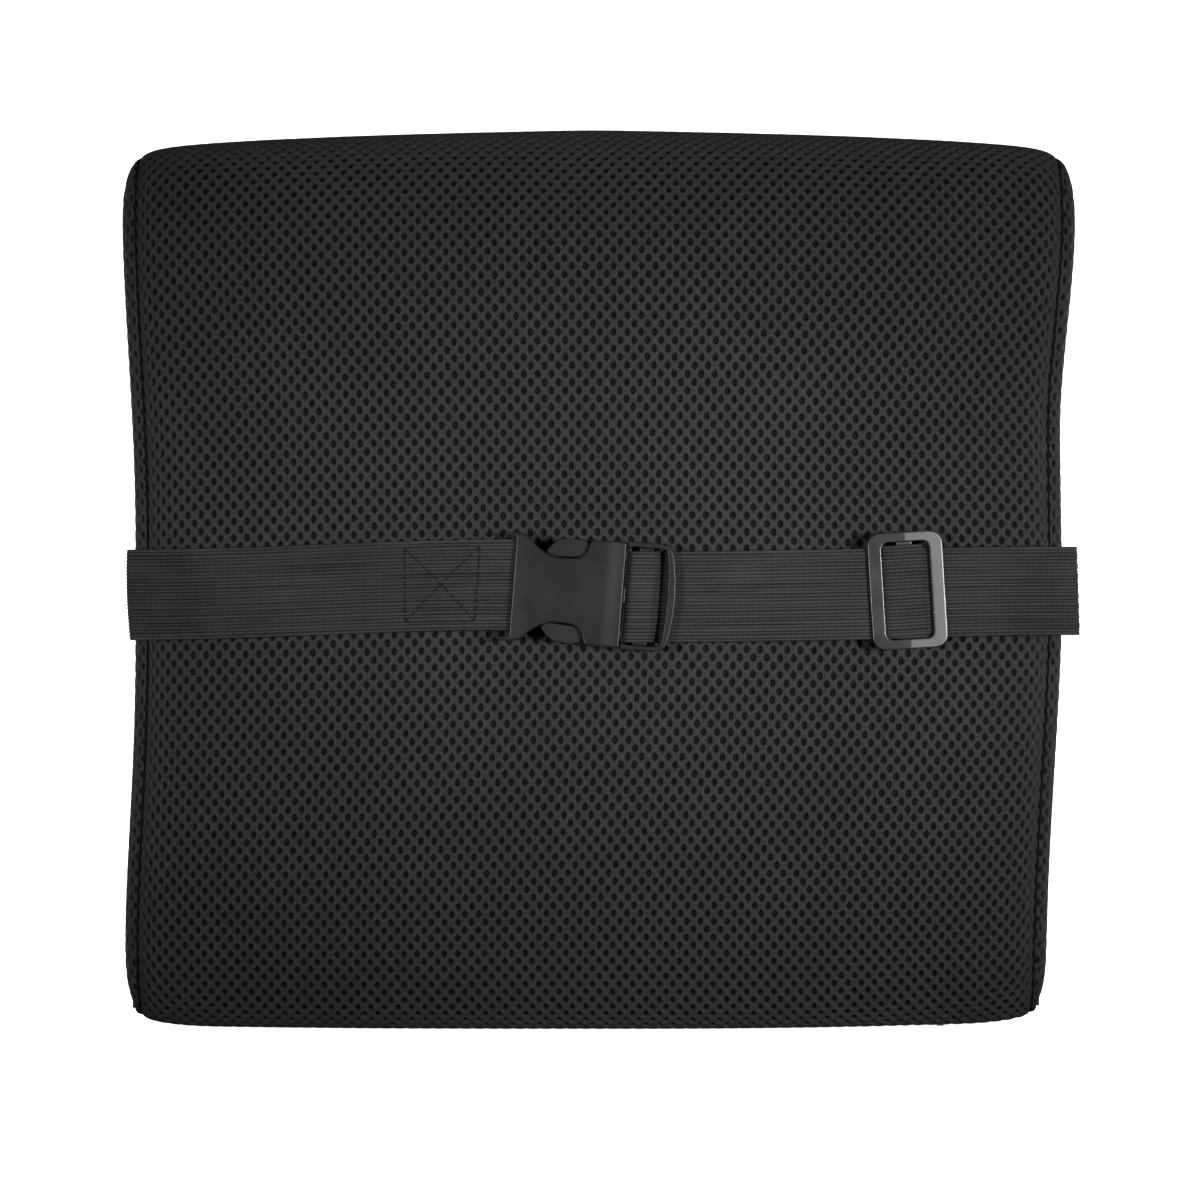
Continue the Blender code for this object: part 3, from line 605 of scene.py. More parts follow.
def tube(name, path, radius, material, closed=False, sides=8):
    """A round cord of mesh along a path in mm."""
    path = np.asarray(path, float)
    tangent = np.roll(path, -1, axis=0) - np.roll(path, 1, axis=0) if closed else np.gradient(path, axis=0)
    tangent = unit(tangent)
    aside = unit(np.cross(tangent, NO_PATH_RUNS_THIS_WAY))
    above = np.cross(tangent, aside)
    angle = np.arange(sides) * 2 * np.pi / sides
    cosine, sine = np.cos(angle)[None, :, None], np.sin(angle)[None, :, None]
    rings = path[:, None] + radius * (cosine * aside[:, None] + sine * above[:, None])
    index = np.arange(len(path) * sides).reshape(-1, sides)
    faces = [ring_quads(np.vstack([index, index[:1]]) if closed else index)]
    if not closed:
        faces += [index[:1], index[-1:, ::-1]]
    uv = np.stack(np.broadcast_arrays(lengths_along(path)[:, None], angle * radius), axis=-1)
    made = mesh_object(name, rings.reshape(-1, 3) * MM, faces, material, uv=uv.reshape(-1, 2))
    fix_normals(made)
    return made


def joined(name, pieces):
    """Several mesh objects as one."""
    shape = bmesh.new()
    for piece in pieces:
        shape.from_mesh(piece.data)
    finish = pieces[0].data.materials[0]
    mesh = bpy.data.meshes.new(name)
    shape.to_mesh(mesh)
    shape.free()
    mesh.materials.append(finish)
    mesh.shade_smooth()
    for piece in pieces:
        bpy.data.objects.remove(piece)
    return linked(bpy.data.objects.new(name, mesh))


# ---------------------------------------------------------------- mesh fabric


def hole_lattice(width, height):
    """The knit over a flat rectangle with some spare, in mm: points, their depths, and faces."""
    columns, rows = round(width / HOLE_PITCH), round(height / ROW_PITCH)
    pitch, row = width / columns, height / rows
    side_y = ((row**2 + (pitch / 2) ** 2) / 2 - (pitch / 2) ** 2) / row
    top_y = (row**2 + (pitch / 2) ** 2) / 2 / row
    half = pitch / 2
    corner = np.array([(0, top_y), (half, side_y), (half, -side_y), (0, -top_y), (-half, -side_y), (-half, side_y)])
    rim = []
    for k in range(6):
        rim.append(corner[k])
        if k not in (1, 4):
            rim.append((corner[k] + corner[(k + 1) % 6]) / 2)
    rim = np.array(rim)
    angle = np.arctan2(rim[:, 1] / HOLE_SIZE[1], rim[:, 0] / HOLE_SIZE[0])
    oval = np.stack([np.cos(angle) * HOLE_SIZE[0], np.sin(angle) * HOLE_SIZE[1]], axis=1)
    rings = [(rim, 0.0), (oval * 1.24, 0.24), (oval * 1.0, 0.8), (oval * 0.92, FABRIC_DEPTH)]
    j, i = np.meshgrid(np.arange(-1, rows + 2), np.arange(-1, columns + 2), indexing="ij")
    centres = np.stack([pitch * (i + 0.5 * (j % 2)), row * j], axis=-1).reshape(-1, 2)
    count = len(rim)
    flat = np.stack([centres[:, None, :] + ring[None] for ring, _ in rings], axis=1)
    depth = np.broadcast_to(np.array([d for _, d in rings])[None, :, None], flat.shape[:3])
    base = (np.arange(len(centres)) * len(rings) * count)[:, None, None]
    start = base + (np.arange(len(rings) - 1) * count)[None, :, None]
    k = np.arange(count)[None, None, :]
    n = (k + 1) % count
    quads = np.stack([start + k, start + count + k, start + count + n, start + n], axis=-1).reshape(-1, 4)
    return flat.reshape(-1, 2), depth.reshape(-1), quads


def weld_rim(flat, depth, quads):
    """Joins the rim points that neighbouring cells share, and drops what the clamping at an edge flattened."""
    key = np.round(np.column_stack([flat * 50, depth * 50])).astype(np.int64)
    _, first, index = np.unique(key, axis=0, return_index=True, return_inverse=True)
    quads = index.reshape(-1)[quads]
    flat, depth = flat[first], depth[first]
    a, b, c, d = quads.T
    one, other = flat[c] - flat[a], flat[d] - flat[b]
    area = np.abs(one[:, 0] * other[:, 1] - one[:, 1] * other[:, 0])
    deep = np.abs(depth[a] - depth[b]) > 0.01
    distinct = (a != b) & (b != c) & (c != d) & (d != a) & (a != c) & (b != d)
    return flat, depth, quads[distinct & ((area > 0.004) | deep)]


def uneven(flat, amount):
    """Small broad drift of the knit, so that its rows aren't ruled."""
    u, v = flat[:, 0], flat[:, 1]
    drift_u = np.sin(v / 61.0 + 0.7) + 0.5 * np.sin(v / 23.0 + u / 90.0) + 0.3 * np.sin(u / 17.0 + v / 31.0)
    drift_v = np.sin(u / 71.0 + 2.1) + 0.5 * np.sin(u / 29.0 + v / 80.0 + 1.0) + 0.3 * np.sin(v / 19.0 + u / 37.0)
    return flat + amount * np.stack([drift_u, drift_v], axis=1)


def backing_grid(width, height, step=4.0):
    columns, rows = round(width / step), round(height / step)
    u, v = np.meshgrid(np.linspace(0, width, columns + 1), np.linspace(0, height, rows + 1), indexing="ij")
    quads, border = sheet_quads(np.arange(u.size).reshape(u.shape))
    return np.stack([u.reshape(-1), v.reshape(-1)], axis=1), quads, border


def facing(points, quads, normals):
    """The quads, turned over if they face against the normals at their corners."""
    a, b, c, d = points[quads].transpose(1, 0, 2)
    agree = np.sum(np.cross(c - a, d - b) * normals[quads[:, 0]])
    return quads if agree > 0 else quads[:, ::-1]


def seam_dip(distance):
    return SEAM_DIP * np.exp(-((np.maximum(distance, 0) / SEAM_WIDTH) ** 2))


def panel(name, width, height, place, inside, hem, materials):
    """A panel of mesh fabric: the holed face and the dark backing seen through it, whose extra darkness over the face
    is painted shade in the holes.

    place(flat) gives points and normals, inside(flat) moves points to inside the panel and gives their distance
    from its edge, and hem(flat) tells where an edge is a seam that dips.
    """
    flat, depth, quads = hole_lattice(width, height)
    wobbled, _ = inside(uneven(flat, KNIT_DRIFT))
    wobbled, depth, quads = weld_rim(wobbled, depth, quads)
    _, edge = inside(wobbled)
    points, normals = place(wobbled)
    down = depth * ease(edge, 0.1, 1.6) + hem(wobbled)
    face_points = points - normals * down[:, None]
    back_flat, back_quads, border = backing_grid(width, height)
    back_flat, _ = inside(back_flat)
    back_points, back_normals = place(back_flat)
    quads = facing(face_points, quads, normals)
    outer = back_points - back_normals * (FABRIC_DEPTH - 0.15 + hem(back_flat))[:, None]
    inner = back_points - back_normals * FABRIC_THICK
    count = len(back_points)
    backing = np.vstack([back_quads, back_quads[:, ::-1] + count, border_walls(border, count)])
    if facing(outer, back_quads, back_normals) is not back_quads:
        backing = backing[:, ::-1]
    made = mesh_object(
        name,
        np.vstack([face_points, outer, inner]) * MM,
        np.vstack([quads, backing + len(face_points)]),
        materials,
        uv=np.vstack([wobbled, back_flat, back_flat]),
    )
    # the backing faces take the second material, darkened as painted shade in the holes
    finish = np.zeros(len(made.data.polygons), np.int32)
    finish[-len(backing) :] = 1
    made.data.polygons.foreach_set("material_index", finish)
    return made


def wrap_panel(name, shape, start, stop, length, materials):
    """A panel of the wrap, between two places along the profile."""
    grid = shape["wrap"][:, start : stop + 1]
    across = shape["across"]
    rows, columns = grid.shape[0] - 1, grid.shape[1] - 1

    def place(flat):
        return on_grid(grid, flat[:, 0] / across * rows, flat[:, 1] / length * columns)

    def inside(flat):
        held = np.column_stack([np.clip(flat[:, 0], 0, across), np.clip(flat[:, 1], 0, length)])
        edge = np.minimum.reduce([held[:, 0], across - held[:, 0], held[:, 1], length - held[:, 1]])
        return held, edge

    def hem(flat):
        seam_end = length - flat[:, 1] if start == 0 else flat[:, 1]
        return seam_dip(np.minimum.reduce([flat[:, 0], across - flat[:, 0], seam_end]))

    return panel(name, across, length, place, inside, hem, materials)


def to_polygon(flat, ring):
    """For each point, the nearest point on the ring, its distance, whether the point is inside, and its place."""
    a, b = ring, np.roll(ring, -1, axis=0)
    best = np.full(len(flat), 1e9)
    nearest = np.zeros_like(flat)
    crossings = np.zeros(len(flat), int)
    place = np.zeros(len(flat))
    for k, (p, q) in enumerate(zip(a, b)):
        side = q - p
        t = np.clip(((flat - p) @ side) / max(side @ side, 1e-9), 0, 1)
        foot = p + t[:, None] * side
        gap = np.linalg.norm(flat - foot, axis=1)
        closer = gap < best
        best[closer] = gap[closer]
        nearest[closer] = foot[closer]
        place[closer] = k + t[closer]
        spans = (p[1] > flat[:, 1]) != (q[1] > flat[:, 1])
        at = p[0] + (flat[:, 1] - p[1]) / (side[1] if side[1] else 1e-9) * side[0]
        crossings += spans & (flat[:, 0] < at)
    return nearest, best, crossings % 2 == 1, place


def gusset_panel(name, shape, side, materials):
    """A side panel, laid flat over the plane of the seam and then raised to the soft shape."""
    rings = shape["gussets"][side]
    outline = rings[0][:, 1:]
    low, high = outline.min(axis=0), outline.max(axis=0)
    tree = gusset_tree(rings, side)

    def inside(flat):
        nearest, distance, within, _ = to_polygon(flat + low, outline)
        return np.where(within[:, None], flat + low, nearest) - low, np.where(within, distance, 0.0)

    def place(flat):
        """Rays leave the seam's plane aslant near the seam, so that the fabric covers the rounded edge."""
        points, normals = np.zeros((len(flat), 3)), np.zeros((len(flat), 3))
        nearest, distance, _, along = to_polygon(flat + low, outline)
        seam_x = np.interp(along, np.arange(len(rings[0]) + 1), np.append(rings[0][:, 0], rings[0][0, 0]))
        ahead = outline[(along.astype(int) + 1) % len(outline)] - outline[along.astype(int) % len(outline)]
        across = unit(np.stack([ahead[:, 1], -ahead[:, 0]], axis=1))
        across *= np.sign(np.sum(across * (nearest - PROFILE_MIDDLE), axis=1))[:, None]
        straight = (nearest - (flat + low)) / np.maximum(distance, 1e-9)[:, None]
        aside = np.where((distance > 0.4)[:, None], straight, across)
        aside *= (1 - ease(distance, 0.0, EDGE_SPREAD))[:, None]
        for k, (y, z) in enumerate(flat + low):
            outwards = Vector((side, *aside[k])).normalized()
            start = Vector((seam_x[k], y, z))
            found, normal, _, _ = tree.ray_cast(start - outwards * 4.0, outwards)
            if found is None or distance[k] < 0.1:
                found, normal, _, _ = tree.find_nearest(start)
            points[k] = found
            normals[k] = normal if normal.dot(outwards) > 0 else -normal
        return points, normals

    def hem(flat):
        return seam_dip(inside(flat)[1])

    size = high - low
    return panel(name, size[0], size[1], place, inside, hem, materials)


def gusset_tree(rings, side):
    """The gusset's surface, subdivided so that it is smooth enough to lay a fabric on."""
    shape = bmesh.new()
    rows = [[shape.verts.new(p) for p in ring] for ring in rings]
    count = len(rows[0])
    for a, b in zip(rows, rows[1:]):
        for k in range(count):
            shape.faces.new((a[k], a[(k + 1) % count], b[(k + 1) % count], b[k]))
    last = rows[-1]
    for k in range((count - 1) // 2):
        far = count - 1 - k
        shape.faces.new(list(dict.fromkeys([last[k], last[k + 1], last[far - 1], last[far]])))
    helper = object_of(shape, "gusset_shape")
    smooth = helper.modifiers.new("smooth", "SUBSURF")
    smooth.levels = 2
    smooth.boundary_smooth = "ALL"
    graph = bpy.context.evaluated_depsgraph_get()
    tree = BVHTree.FromObject(helper, graph)
    bpy.data.objects.remove(helper)
    return tree


# ---------------------------------------------------------------- webbing


def webbing_section(width=WEB_WIDTH, thick=WEB_THICK, ribs=WEB_RIBS):
    """Closed outline (across, up) of ribbed elastic webbing, in mm."""
    steps = ribs * 4
    s = np.arange(steps + 1) / steps
    ridge = np.abs(np.sin(np.pi * s * ribs)) ** 0.8
    up = thick / 2 - RIB_DEPTH + RIB_DEPTH * ridge
    up = up * (0.55 + 0.45 * ease(np.minimum(s, 1 - s) * width, 0.0, 1.0))
    across = (s - 0.5) * width
    top = np.stack([across, up], axis=1)
    bottom = np.stack([across[::-1], -up[::-1]], axis=1)
    return np.vstack([top, bottom[1:-1]]) if up[0] < 0.01 else np.vstack([top, bottom])


def band(name, anchors, rule, material, step=0.9):
    """Webbing swept along a path given as (x, y), then placed by rule, with rounded folds."""
    line = spline_points(anchors)
    along = lengths_along(line)
    count = max(2, round(along[-1] / step))
    where = np.linspace(0, along[-1], count + 1)
    path = at_lengths(line, along, where)
    tangent = np.gradient(path, axis=0)
    tangent /= np.linalg.norm(tangent, axis=1, keepdims=True)
    normal = np.stack([-tangent[:, 1], tangent[:, 0]], axis=1)
    shape = webbing_section()
    ring = len(shape)
    across, up = shape[:, 0], shape[:, 1]
    x = path[:, None, 0] + normal[:, None, 0] * up[None]
    y = path[:, None, 1] + normal[:, None, 1] * up[None]
    z = np.broadcast_to(across[None], x.shape)
    points = rule(np.stack([x, y, z], axis=-1).reshape(-1, 3))
    index = np.arange(len(points)).reshape(count + 1, ring)
    uv = np.stack([np.broadcast_to(where[:, None], x.shape), z], axis=-1).reshape(-1, 2)
    half = ring // 2
    caps = []
    for row, turn in ((index[0], 1), (index[-1], -1)):
        near = np.arange(half - 1)
        cap = np.stack([row[near], row[near + 1], row[ring - 2 - near], row[ring - 1 - near]], axis=-1)
        caps.append(cap[:, ::turn])
    made = mesh_object(name, points * MM, np.vstack([ring_quads(index), *caps]), material, uv=uv)
    fix_normals(made)
    return made


def fix_normals(made):
    shape = bmesh.new()
    shape.from_mesh(made.data)
    bmesh.ops.recalc_face_normals(shape, faces=shape.faces)
    shape.to_mesh(made.data)
    shape.free()


def left_strap_place(p):
    near = ease(p[:, 0], -62, -38)
    rise = -1.4 + 3.5 * ease(p[:, 0], -165, -35)
    slant = -0.035 * p[:, 2] * (1 - ease(p[:, 0], -160, -120))
    slant = slant + 0.0022 * p[:, 2] ** 2 * (1 - ease(p[:, 0], -164, -158))
    x = p[:, 0] + math.tan(BUCKLE_TILT) * near * p[:, 2] + slant
    return np.column_stack([x, p[:, 1], STRAP_Z + rise + p[:, 2]])


def right_strap_place(p):
    lean = math.tan(BUCKLE_TILT) * (1 - ease(p[:, 0], 32, 62)) * p[:, 2]
    drop = 2.1 * (1 - ease(p[:, 0], 25, 165))
    end = ease(p[:, 0], 154, 165)
    scallop = end * (0.22 * np.abs(np.sin(p[:, 2] * np.pi / 3.6)) - 0.03 * p[:, 2])
    narrow = 1 - 0.03 * ease(p[:, 0], 90, 160)
    return np.column_stack([p[:, 0] + lean + scallop, p[:, 1], STRAP_Z - drop + p[:, 2] * narrow])


def in_frame(place, tilt):
    """A rule that takes (x, y, z) in a tilted frame to the world, in mm."""
    c, s = math.cos(tilt), math.sin(tilt)

    def rule(p):
        x, y, z = p.T
        return np.column_stack([place[0] + x * c + z * s, y, place[1] - x * s + z * c])

    return rule


# ---------------------------------------------------------------- moulded pieces


def prism(points, low, high):
    """An outline in (x, z), in mm, between two depths y."""
    shape = bmesh.new()
    bottom = [shape.verts.new((x, low, z)) for x, z in points]
    top = [shape.verts.new((x, high, z)) for x, z in points]
    count = len(points)
    for k in range(count):
        n = (k + 1) % count
        shape.faces.new((bottom[k], bottom[n], top[n], top[k]))
    shape.faces.new(bottom[::-1])
    shape.faces.new(top)
    bmesh.ops.recalc_face_normals(shape, faces=shape.faces)
    return object_of(shape, "tool")


def block(low, high):
    (x0, y0, z0), (x1, y1, z1) = low, high
    return prism([(x0, z0), (x1, z0), (x1, z1), (x0, z1)], y0, y1)


def cylinder(start, end, radius):
    start, end = Vector(start), Vector(end)
    shape = bmesh.new()
    size = {"radius1": radius, "radius2": radius, "depth": (end - start).length}
    bmesh.ops.create_cone(shape, cap_ends=True, segments=32, **size)
    turn = (end - start).to_track_quat("Z", "Y").to_matrix().to_4x4()
    bmesh.ops.transform(shape, matrix=Matrix.Translation((start + end) / 2) @ turn, verts=shape.verts)
    return object_of(shape, "tool")


def smooth_outline(half, per_span=5, mirrored=True):
    """A smooth whole outline from its upper half. A point given twice stays sharp."""
    pieces, run = [], [half[0]]
    for a, b in zip(half, half[1:]):
        if a == b:
            pieces.append(run)
            run = [b]
        else:
            run.append(b)
    pieces.append(run)
    upper = []
    for piece in pieces:
        line = spline_points(piece, per_span) if len(piece) > 2 else np.array(piece, float)
        upper.extend(map(tuple, line if not upper else line[1:]))
    if not mirrored:
        return upper
    lower = [(x, -z) for x, z in reversed(upper[1:-1])]
    return upper + lower


def moulded(name, base, steps, material, voxel=0.32, smooth=4, dome=None, rule=None):
    """Booleans on a base, remeshed fine and relaxed so that every edge gets a moulded radius."""
    for operation, other in steps:
        cut = base.modifiers.new("step", "BOOLEAN")
        cut.operation = operation
        cut.object = other
        cut.solver = "EXACT"
    remesh = base.modifiers.new("even", "REMESH")
    remesh.mode = "VOXEL"
    remesh.voxel_size = voxel
    relax = base.modifiers.new("relaxed", "SMOOTH")
    relax.factor = 0.5
    relax.iterations = smooth
    mesh = evaluated(base)
    for _, other in steps:
        bpy.data.objects.remove(other)
    bpy.data.objects.remove(base)
    points = points_of(mesh)
    if dome:
        points = dome(points)
    if rule:
        points = rule(points)
    mesh.vertices.foreach_set("co", (points * MM).astype(np.float32).reshape(-1))
    mesh.update()
    mesh.name = name
    mesh.materials.clear()
    mesh.materials.append(material)
    mesh.shade_smooth()
    return linked(bpy.data.objects.new(name, mesh))


# ---------------------------------------------------------------- build

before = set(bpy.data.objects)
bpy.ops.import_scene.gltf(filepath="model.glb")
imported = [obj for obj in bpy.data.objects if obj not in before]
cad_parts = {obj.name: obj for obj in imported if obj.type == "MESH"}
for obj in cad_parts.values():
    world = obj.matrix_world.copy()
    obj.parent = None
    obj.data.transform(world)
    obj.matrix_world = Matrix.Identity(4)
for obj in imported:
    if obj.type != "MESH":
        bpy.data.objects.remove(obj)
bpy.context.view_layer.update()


def belongs(piece, body, node=None):
    """Says which body a piece rides on and which CAD node it replaces."""
    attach(piece, body)
    if node:
        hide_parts(node)


FABRIC = mesh_fabric_surface("spacer_mesh_face", (0.009, 0.009, 0.0092), (0.034, 0.0338, 0.0335), 0.01)
# partly real, partly painted shade: the spacer mesh's backing layer, coloured far darker than its face to stand for
# the shade inside the holes; the seam bindings use it too
SHADED_BACKING = mesh_fabric_surface("spacer_mesh_backing_shaded", (0.0022, 0.0022, 0.0024), (0.0065, 0.0065, 0.007), 0.0)
ELASTIC = webbing_surface("elastic_webbing", (0.0036, 0.0036, 0.0038), (0.033, 0.0325, 0.0316))
THREAD = webbing_surface("sewing_thread", (0.003, 0.003, 0.003), (0.009, 0.009, 0.009))
BUCKLE = moulded_surface("buckle_plastic", (0.0062, 0.0061, 0.0060), (0.0098, 0.0096, 0.0094), (0.34, 0.42))
# painted shade: a darker copy of the buckle plastic for the prongs, which sit in the shade of the body's waist; only
# its higher roughness is a real difference
SHADED_PRONG_PLASTIC = moulded_surface("prong_plastic_shaded", (0.0060, 0.0060, 0.0060), (0.0090, 0.0089, 0.0088), (0.38, 0.46))
ENAMEL = metal_surface("adjuster_enamel", (0.040, 0.040, 0.042), (0.052, 0.052, 0.054), (0.30, 0.38), 0.85)
TAPE = webbing_surface("zip_tape", (0.006, 0.006, 0.006), (0.018, 0.018, 0.018))
COIL = moulded_surface("zip_coil", (0.008, 0.008, 0.008), (0.016, 0.016, 0.016), (0.35, 0.5))
ZIP_METAL = metal_surface("zip_metal", (0.03, 0.03, 0.03), (0.06, 0.06, 0.06), (0.3, 0.45), 0.85)
FOAM = foam_surface("memory_foam")
LINER = mesh_fabric_surface("liner_knit", (0.55, 0.55, 0.53), (0.8, 0.8, 0.78), 0.1)

shape = soft_shape()
shape = swollen(shape)
split = shape["split"]
last = shape["wrap"].shape[1] - 1
front_panel = wrap_panel("front_panel_mesh", shape, 0, split, shape["front_length"], [FABRIC, SHADED_BACKING])
back_panel = wrap_panel("back_panel_mesh", shape, split, last, shape["back_length"], [FABRIC, SHADED_BACKING])
left_gusset = gusset_panel("left_gusset_mesh", shape, -1, [FABRIC, SHADED_BACKING])
right_gusset = gusset_panel("right_gusset_mesh", shape, 1, [FABRIC, SHADED_BACKING])
for piece, node in (
    (front_panel, "cover_front_panel"),
    (back_panel, "cover_back_panel"),
    (left_gusset, "cover_left_gusset"),
    (right_gusset, "cover_right_gusset"),
):
    belongs(piece, "cushion", node)

foam = voxel_copy("foam_core_block", whole_skin(shape), 4.0, FOAM_INSET)
foam.data.materials.append(FOAM)
belongs(foam, "cushion", "foam_core")

liner = voxel_copy("inner_liner_knit", whole_skin(shape), 3.5, LINER_INSET)
liner.data.materials.append(LINER)
shell = liner.modifiers.new("cloth_thickness", "SOLIDIFY")
shell.thickness = 0.6 * MM
shell.offset = -1.0
belongs(liner, "cushion", "inner_liner")

for side, label in ((-1, "left"), (1, "right")):
    ring = shape["gussets"][side][0]
    middle = np.array((0.0, *PROFILE_MIDDLE))
    ahead = np.roll(ring, -1, axis=0) - np.roll(ring, 1, axis=0)
    inwards = unit(np.column_stack([np.zeros(len(ring)), ahead[:, 2], -ahead[:, 1]]))
    inwards *= np.sign(np.sum(inwards * (middle - ring), axis=1, keepdims=True))
    path = ring + inwards * BINDING_DEPTH
    binding = tube(f"{label}_seam_binding", path, BINDING_RADIUS, SHADED_BACKING, closed=True, sides=10)
    belongs(binding, "cushion")

ridge = shape["wrap"][:, split]
binding = tube("top_seam_binding", ridge - np.array((0, 0, 2.6)), BINDING_RADIUS, SHADED_BACKING, sides=10)
belongs(binding, "cushion")

# Straps
LEFT_PATH = [
    (-159.5, -33), (-160.4, -40), (-162.4, -44.6), (-164.6, -47.8), (-165.6, -50.4), (-164.4, -52.4), (-160, -52.5),
    (-151, -51.2), (-138, -49.8), (-100, -48.6), (-74, -49.0), (-54, -51.4), (-41, -54.0), (-33, -55.2),
]  # fmt: skip
bar_x = BUCKLE_PLACE[0] - 15.0 * math.cos(BUCKLE_TILT)
BAR_Y, LOOP_RADIUS = -53.4, 2.75
LEFT_LOOP = [
    (bar_x + LOOP_RADIUS * math.sin(turn), BAR_Y - LOOP_RADIUS * math.cos(turn))
    for turn in (math.radians(a) for a in range(0, 181, 30))
]
LEFT_UNDER = [(-33, -50.6), (-41, -50.2), (-52, -49.6), (-67.5, -47.9)]
left_strap = band("left_strap_webbing", LEFT_PATH + LEFT_LOOP + LEFT_UNDER, left_strap_place, ELASTIC)
belongs(left_strap, "cushion", "left_strap")


def stitches(name, start, end, face, rule):
    """A line of lockstitches lying in the webbing, each end dipping into it. Places are (along, up) in mm."""
    start, end = np.array(start, float), np.array(end, float)
    length = np.linalg.norm(end - start)
    count = max(1, round(length / STITCH_LENGTH))
    made = []
    for k in range(count):
        share = (k + np.linspace(0.06, 0.94, 7)) / count
        place = start + share[:, None] * (end - start) + rng.normal(0, 0.06, 2)
        sunk = 0.42 * (2 * np.linspace(0, 1, 7) - 1) ** 4 - 0.12
        path = rule(np.column_stack([place[:, 0], face(place[:, 0]) + sunk, place[:, 1]]))
        made.append(tube(name, path, THREAD_RADIUS, THREAD, sides=6))
    return made


def left_face(x):
    """How far out the outer face of the left strap's outer layer is, at x."""
    line = spline_points([p for p in LEFT_PATH if -140 < p[0]])
    return np.interp(x, line[:, 0], line[:, 1]) - WEB_THICK / 2


BOX_X = [
    ((-68.3, 13.6), (-42.6, 13.6)), ((-68.3, -12.6), (-42.6, -12.6)), ((-42.6, -12.6), (-42.6, 13.6)),
    ((-68.3, -12.6), (-68.3, 13.6)), ((-68.3, -12.6), (-42.6, 13.6)), ((-68.3, 13.6), (-42.6, -12.6)),
]  # fmt: skip
threads = []
for start, end in BOX_X:
    threads += stitches("thread", start, end, left_face, left_strap_place)
box_stitch = joined("left_strap_box_stitch", threads)
belongs(box_stitch, "cushion")

CROSS_X = BUCKLE_PLACE[0] + 28.0 * math.cos(BUCKLE_TILT)
RIGHT_OUTER = [
    (159.5, -33), (160.4, -40), (162.4, -46.0), (165.6, -50.6), (167.6, -54.4), (166.6, -57.0), (162, -57.4),
    (153, -56.0), (144, -54.4), (134, -53.9), (110, -53.9), (70, -53.6), (44, -52.9), (36, -52.0),
    (30, -51.0), (25.5, -50.6), (CROSS_X + 5.3, -50.9), (CROSS_X + 3.8, -52.6), (CROSS_X + 3.0, -55.4),
    (CROSS_X + 1.0, -56.6), (CROSS_X - 0.6, -56.7), (CROSS_X - 3.6, -56.8), (CROSS_X - 5.4, -56.0),
]  # fmt: skip
right_outer = band("right_strap_outer_webbing", RIGHT_OUTER, right_strap_place, ELASTIC)
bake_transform(right_outer)
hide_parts("right_strap")

RIGHT_INNER = [
    (CROSS_X - 5.4, -56.0), (CROSS_X - 5.6, -54.4), (CROSS_X - 3.8, -51.9), (CROSS_X - 1.4, -51.4),
    (CROSS_X + 1, -50.9), (CROSS_X + 3, -49.6), (25.5, -49.0), (32, -48.4), (60, -48.0), (86, -48.0),
    (98, -48.4), (104, -48.8), (110, -48.9), (112.6, -49.8), (112.8, -51.0), (110.6, -52.4), (106, -52.5),
    (100, -51.2), (93, -50.2), (87, -49.4),
]  # fmt: skip
right_inner = band("right_strap_inner_webbing", RIGHT_INNER, right_strap_place, ELASTIC)
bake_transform(right_inner)
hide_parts("adjuster_loop")

# Buckle
to_buckle = in_frame(BUCKLE_PLACE, BUCKLE_TILT)
BODY_HALF = [
    (20.6, 0), (20.6, 0), (20.6, 17.9), (20.6, 17.9), (19.8, 18.6), (9.6, 18.5), (8.0, 17.6), (7.2, 14.6),
    (5.6, 12.6), (3.0, 11.65), (-1.5, 11.4), (-5.0, 11.8), (-10.0, 14.3), (-14.2, 18.0), (-17.5, 19.0),
    (-20.8, 18.9), (-22.6, 17.8), (-22.6, 17.8), (-18.2, 17.5), (-18.2, 17.5), (-18.2, 0),
]  # fmt: skip


def body_dome(p):
    """The plate's outer face swells slightly and rolls off at its ends."""
    out = ease(-p[:, 1], 52.5, 57.5)
    swell = 0.5 * (1 - (p[:, 2] / 19.0) ** 2) - 0.5 * ease(p[:, 0], 13.0, 20.5) - 0.3 * ease(-p[:, 0], 12.0, 19.0)
    return np.column_stack([p[:, 0], p[:, 1] - out * swell, p[:, 2]])


body = moulded(
    "buckle_body_moulding",
    prism(smooth_outline(BODY_HALF), -58.2, -48.5),
    [
        ("DIFFERENCE", block((-30, -56.7, -17.3), (-11.0, -49.9, 17.3))),
        ("DIFFERENCE", block((-9.3, -56.7, -17.0), (26, -51.2, 17.0))),
        ("UNION", cylinder((-15, -53.4, -18.4), (-15, -53.4, 18.4), 1.7)),
    ],
    BUCKLE,
    dome=body_dome,
    rule=to_buckle,
)
belongs(body, "cushion", "buckle_body")

FRAME_HALF = [
    (20.7, 0), (20.7, 0), (20.7, 19.0), (20.7, 19.0), (32.0, 18.9), (35.7, 18.0), (37.4, 15.2), (38.6, 8.0), (39.1, 0),
]  # fmt: skip
OPENING_HALF = [
    (22.4, 0), (22.4, 0), (22.4, 17.2), (22.4, 17.2), (33.4, 17.1), (35.0, 15.8), (35.9, 8.0), (36.2, 0),
]  # fmt: skip
insert = moulded(
    "buckle_insert_moulding",
    prism(smooth_outline(FRAME_HALF), -56.2, -51.7),
    [
        ("DIFFERENCE", prism(smooth_outline(OPENING_HALF), -60, -45)),
        ("DIFFERENCE", block((20.0, -60, -16.9), (23.0, -55.2, 16.9))),
        ("UNION", block((25.2, -55.3, -17.9), (30.2, -52.5, 17.9))),
        ("UNION", block((-6.5, -56.1, -3.0), (21.5, -51.8, 3.0))),
    ],
    BUCKLE,
    voxel=0.28,
    smooth=3,
    rule=to_buckle,
)
belongs(insert, "insert", "buckle_insert")

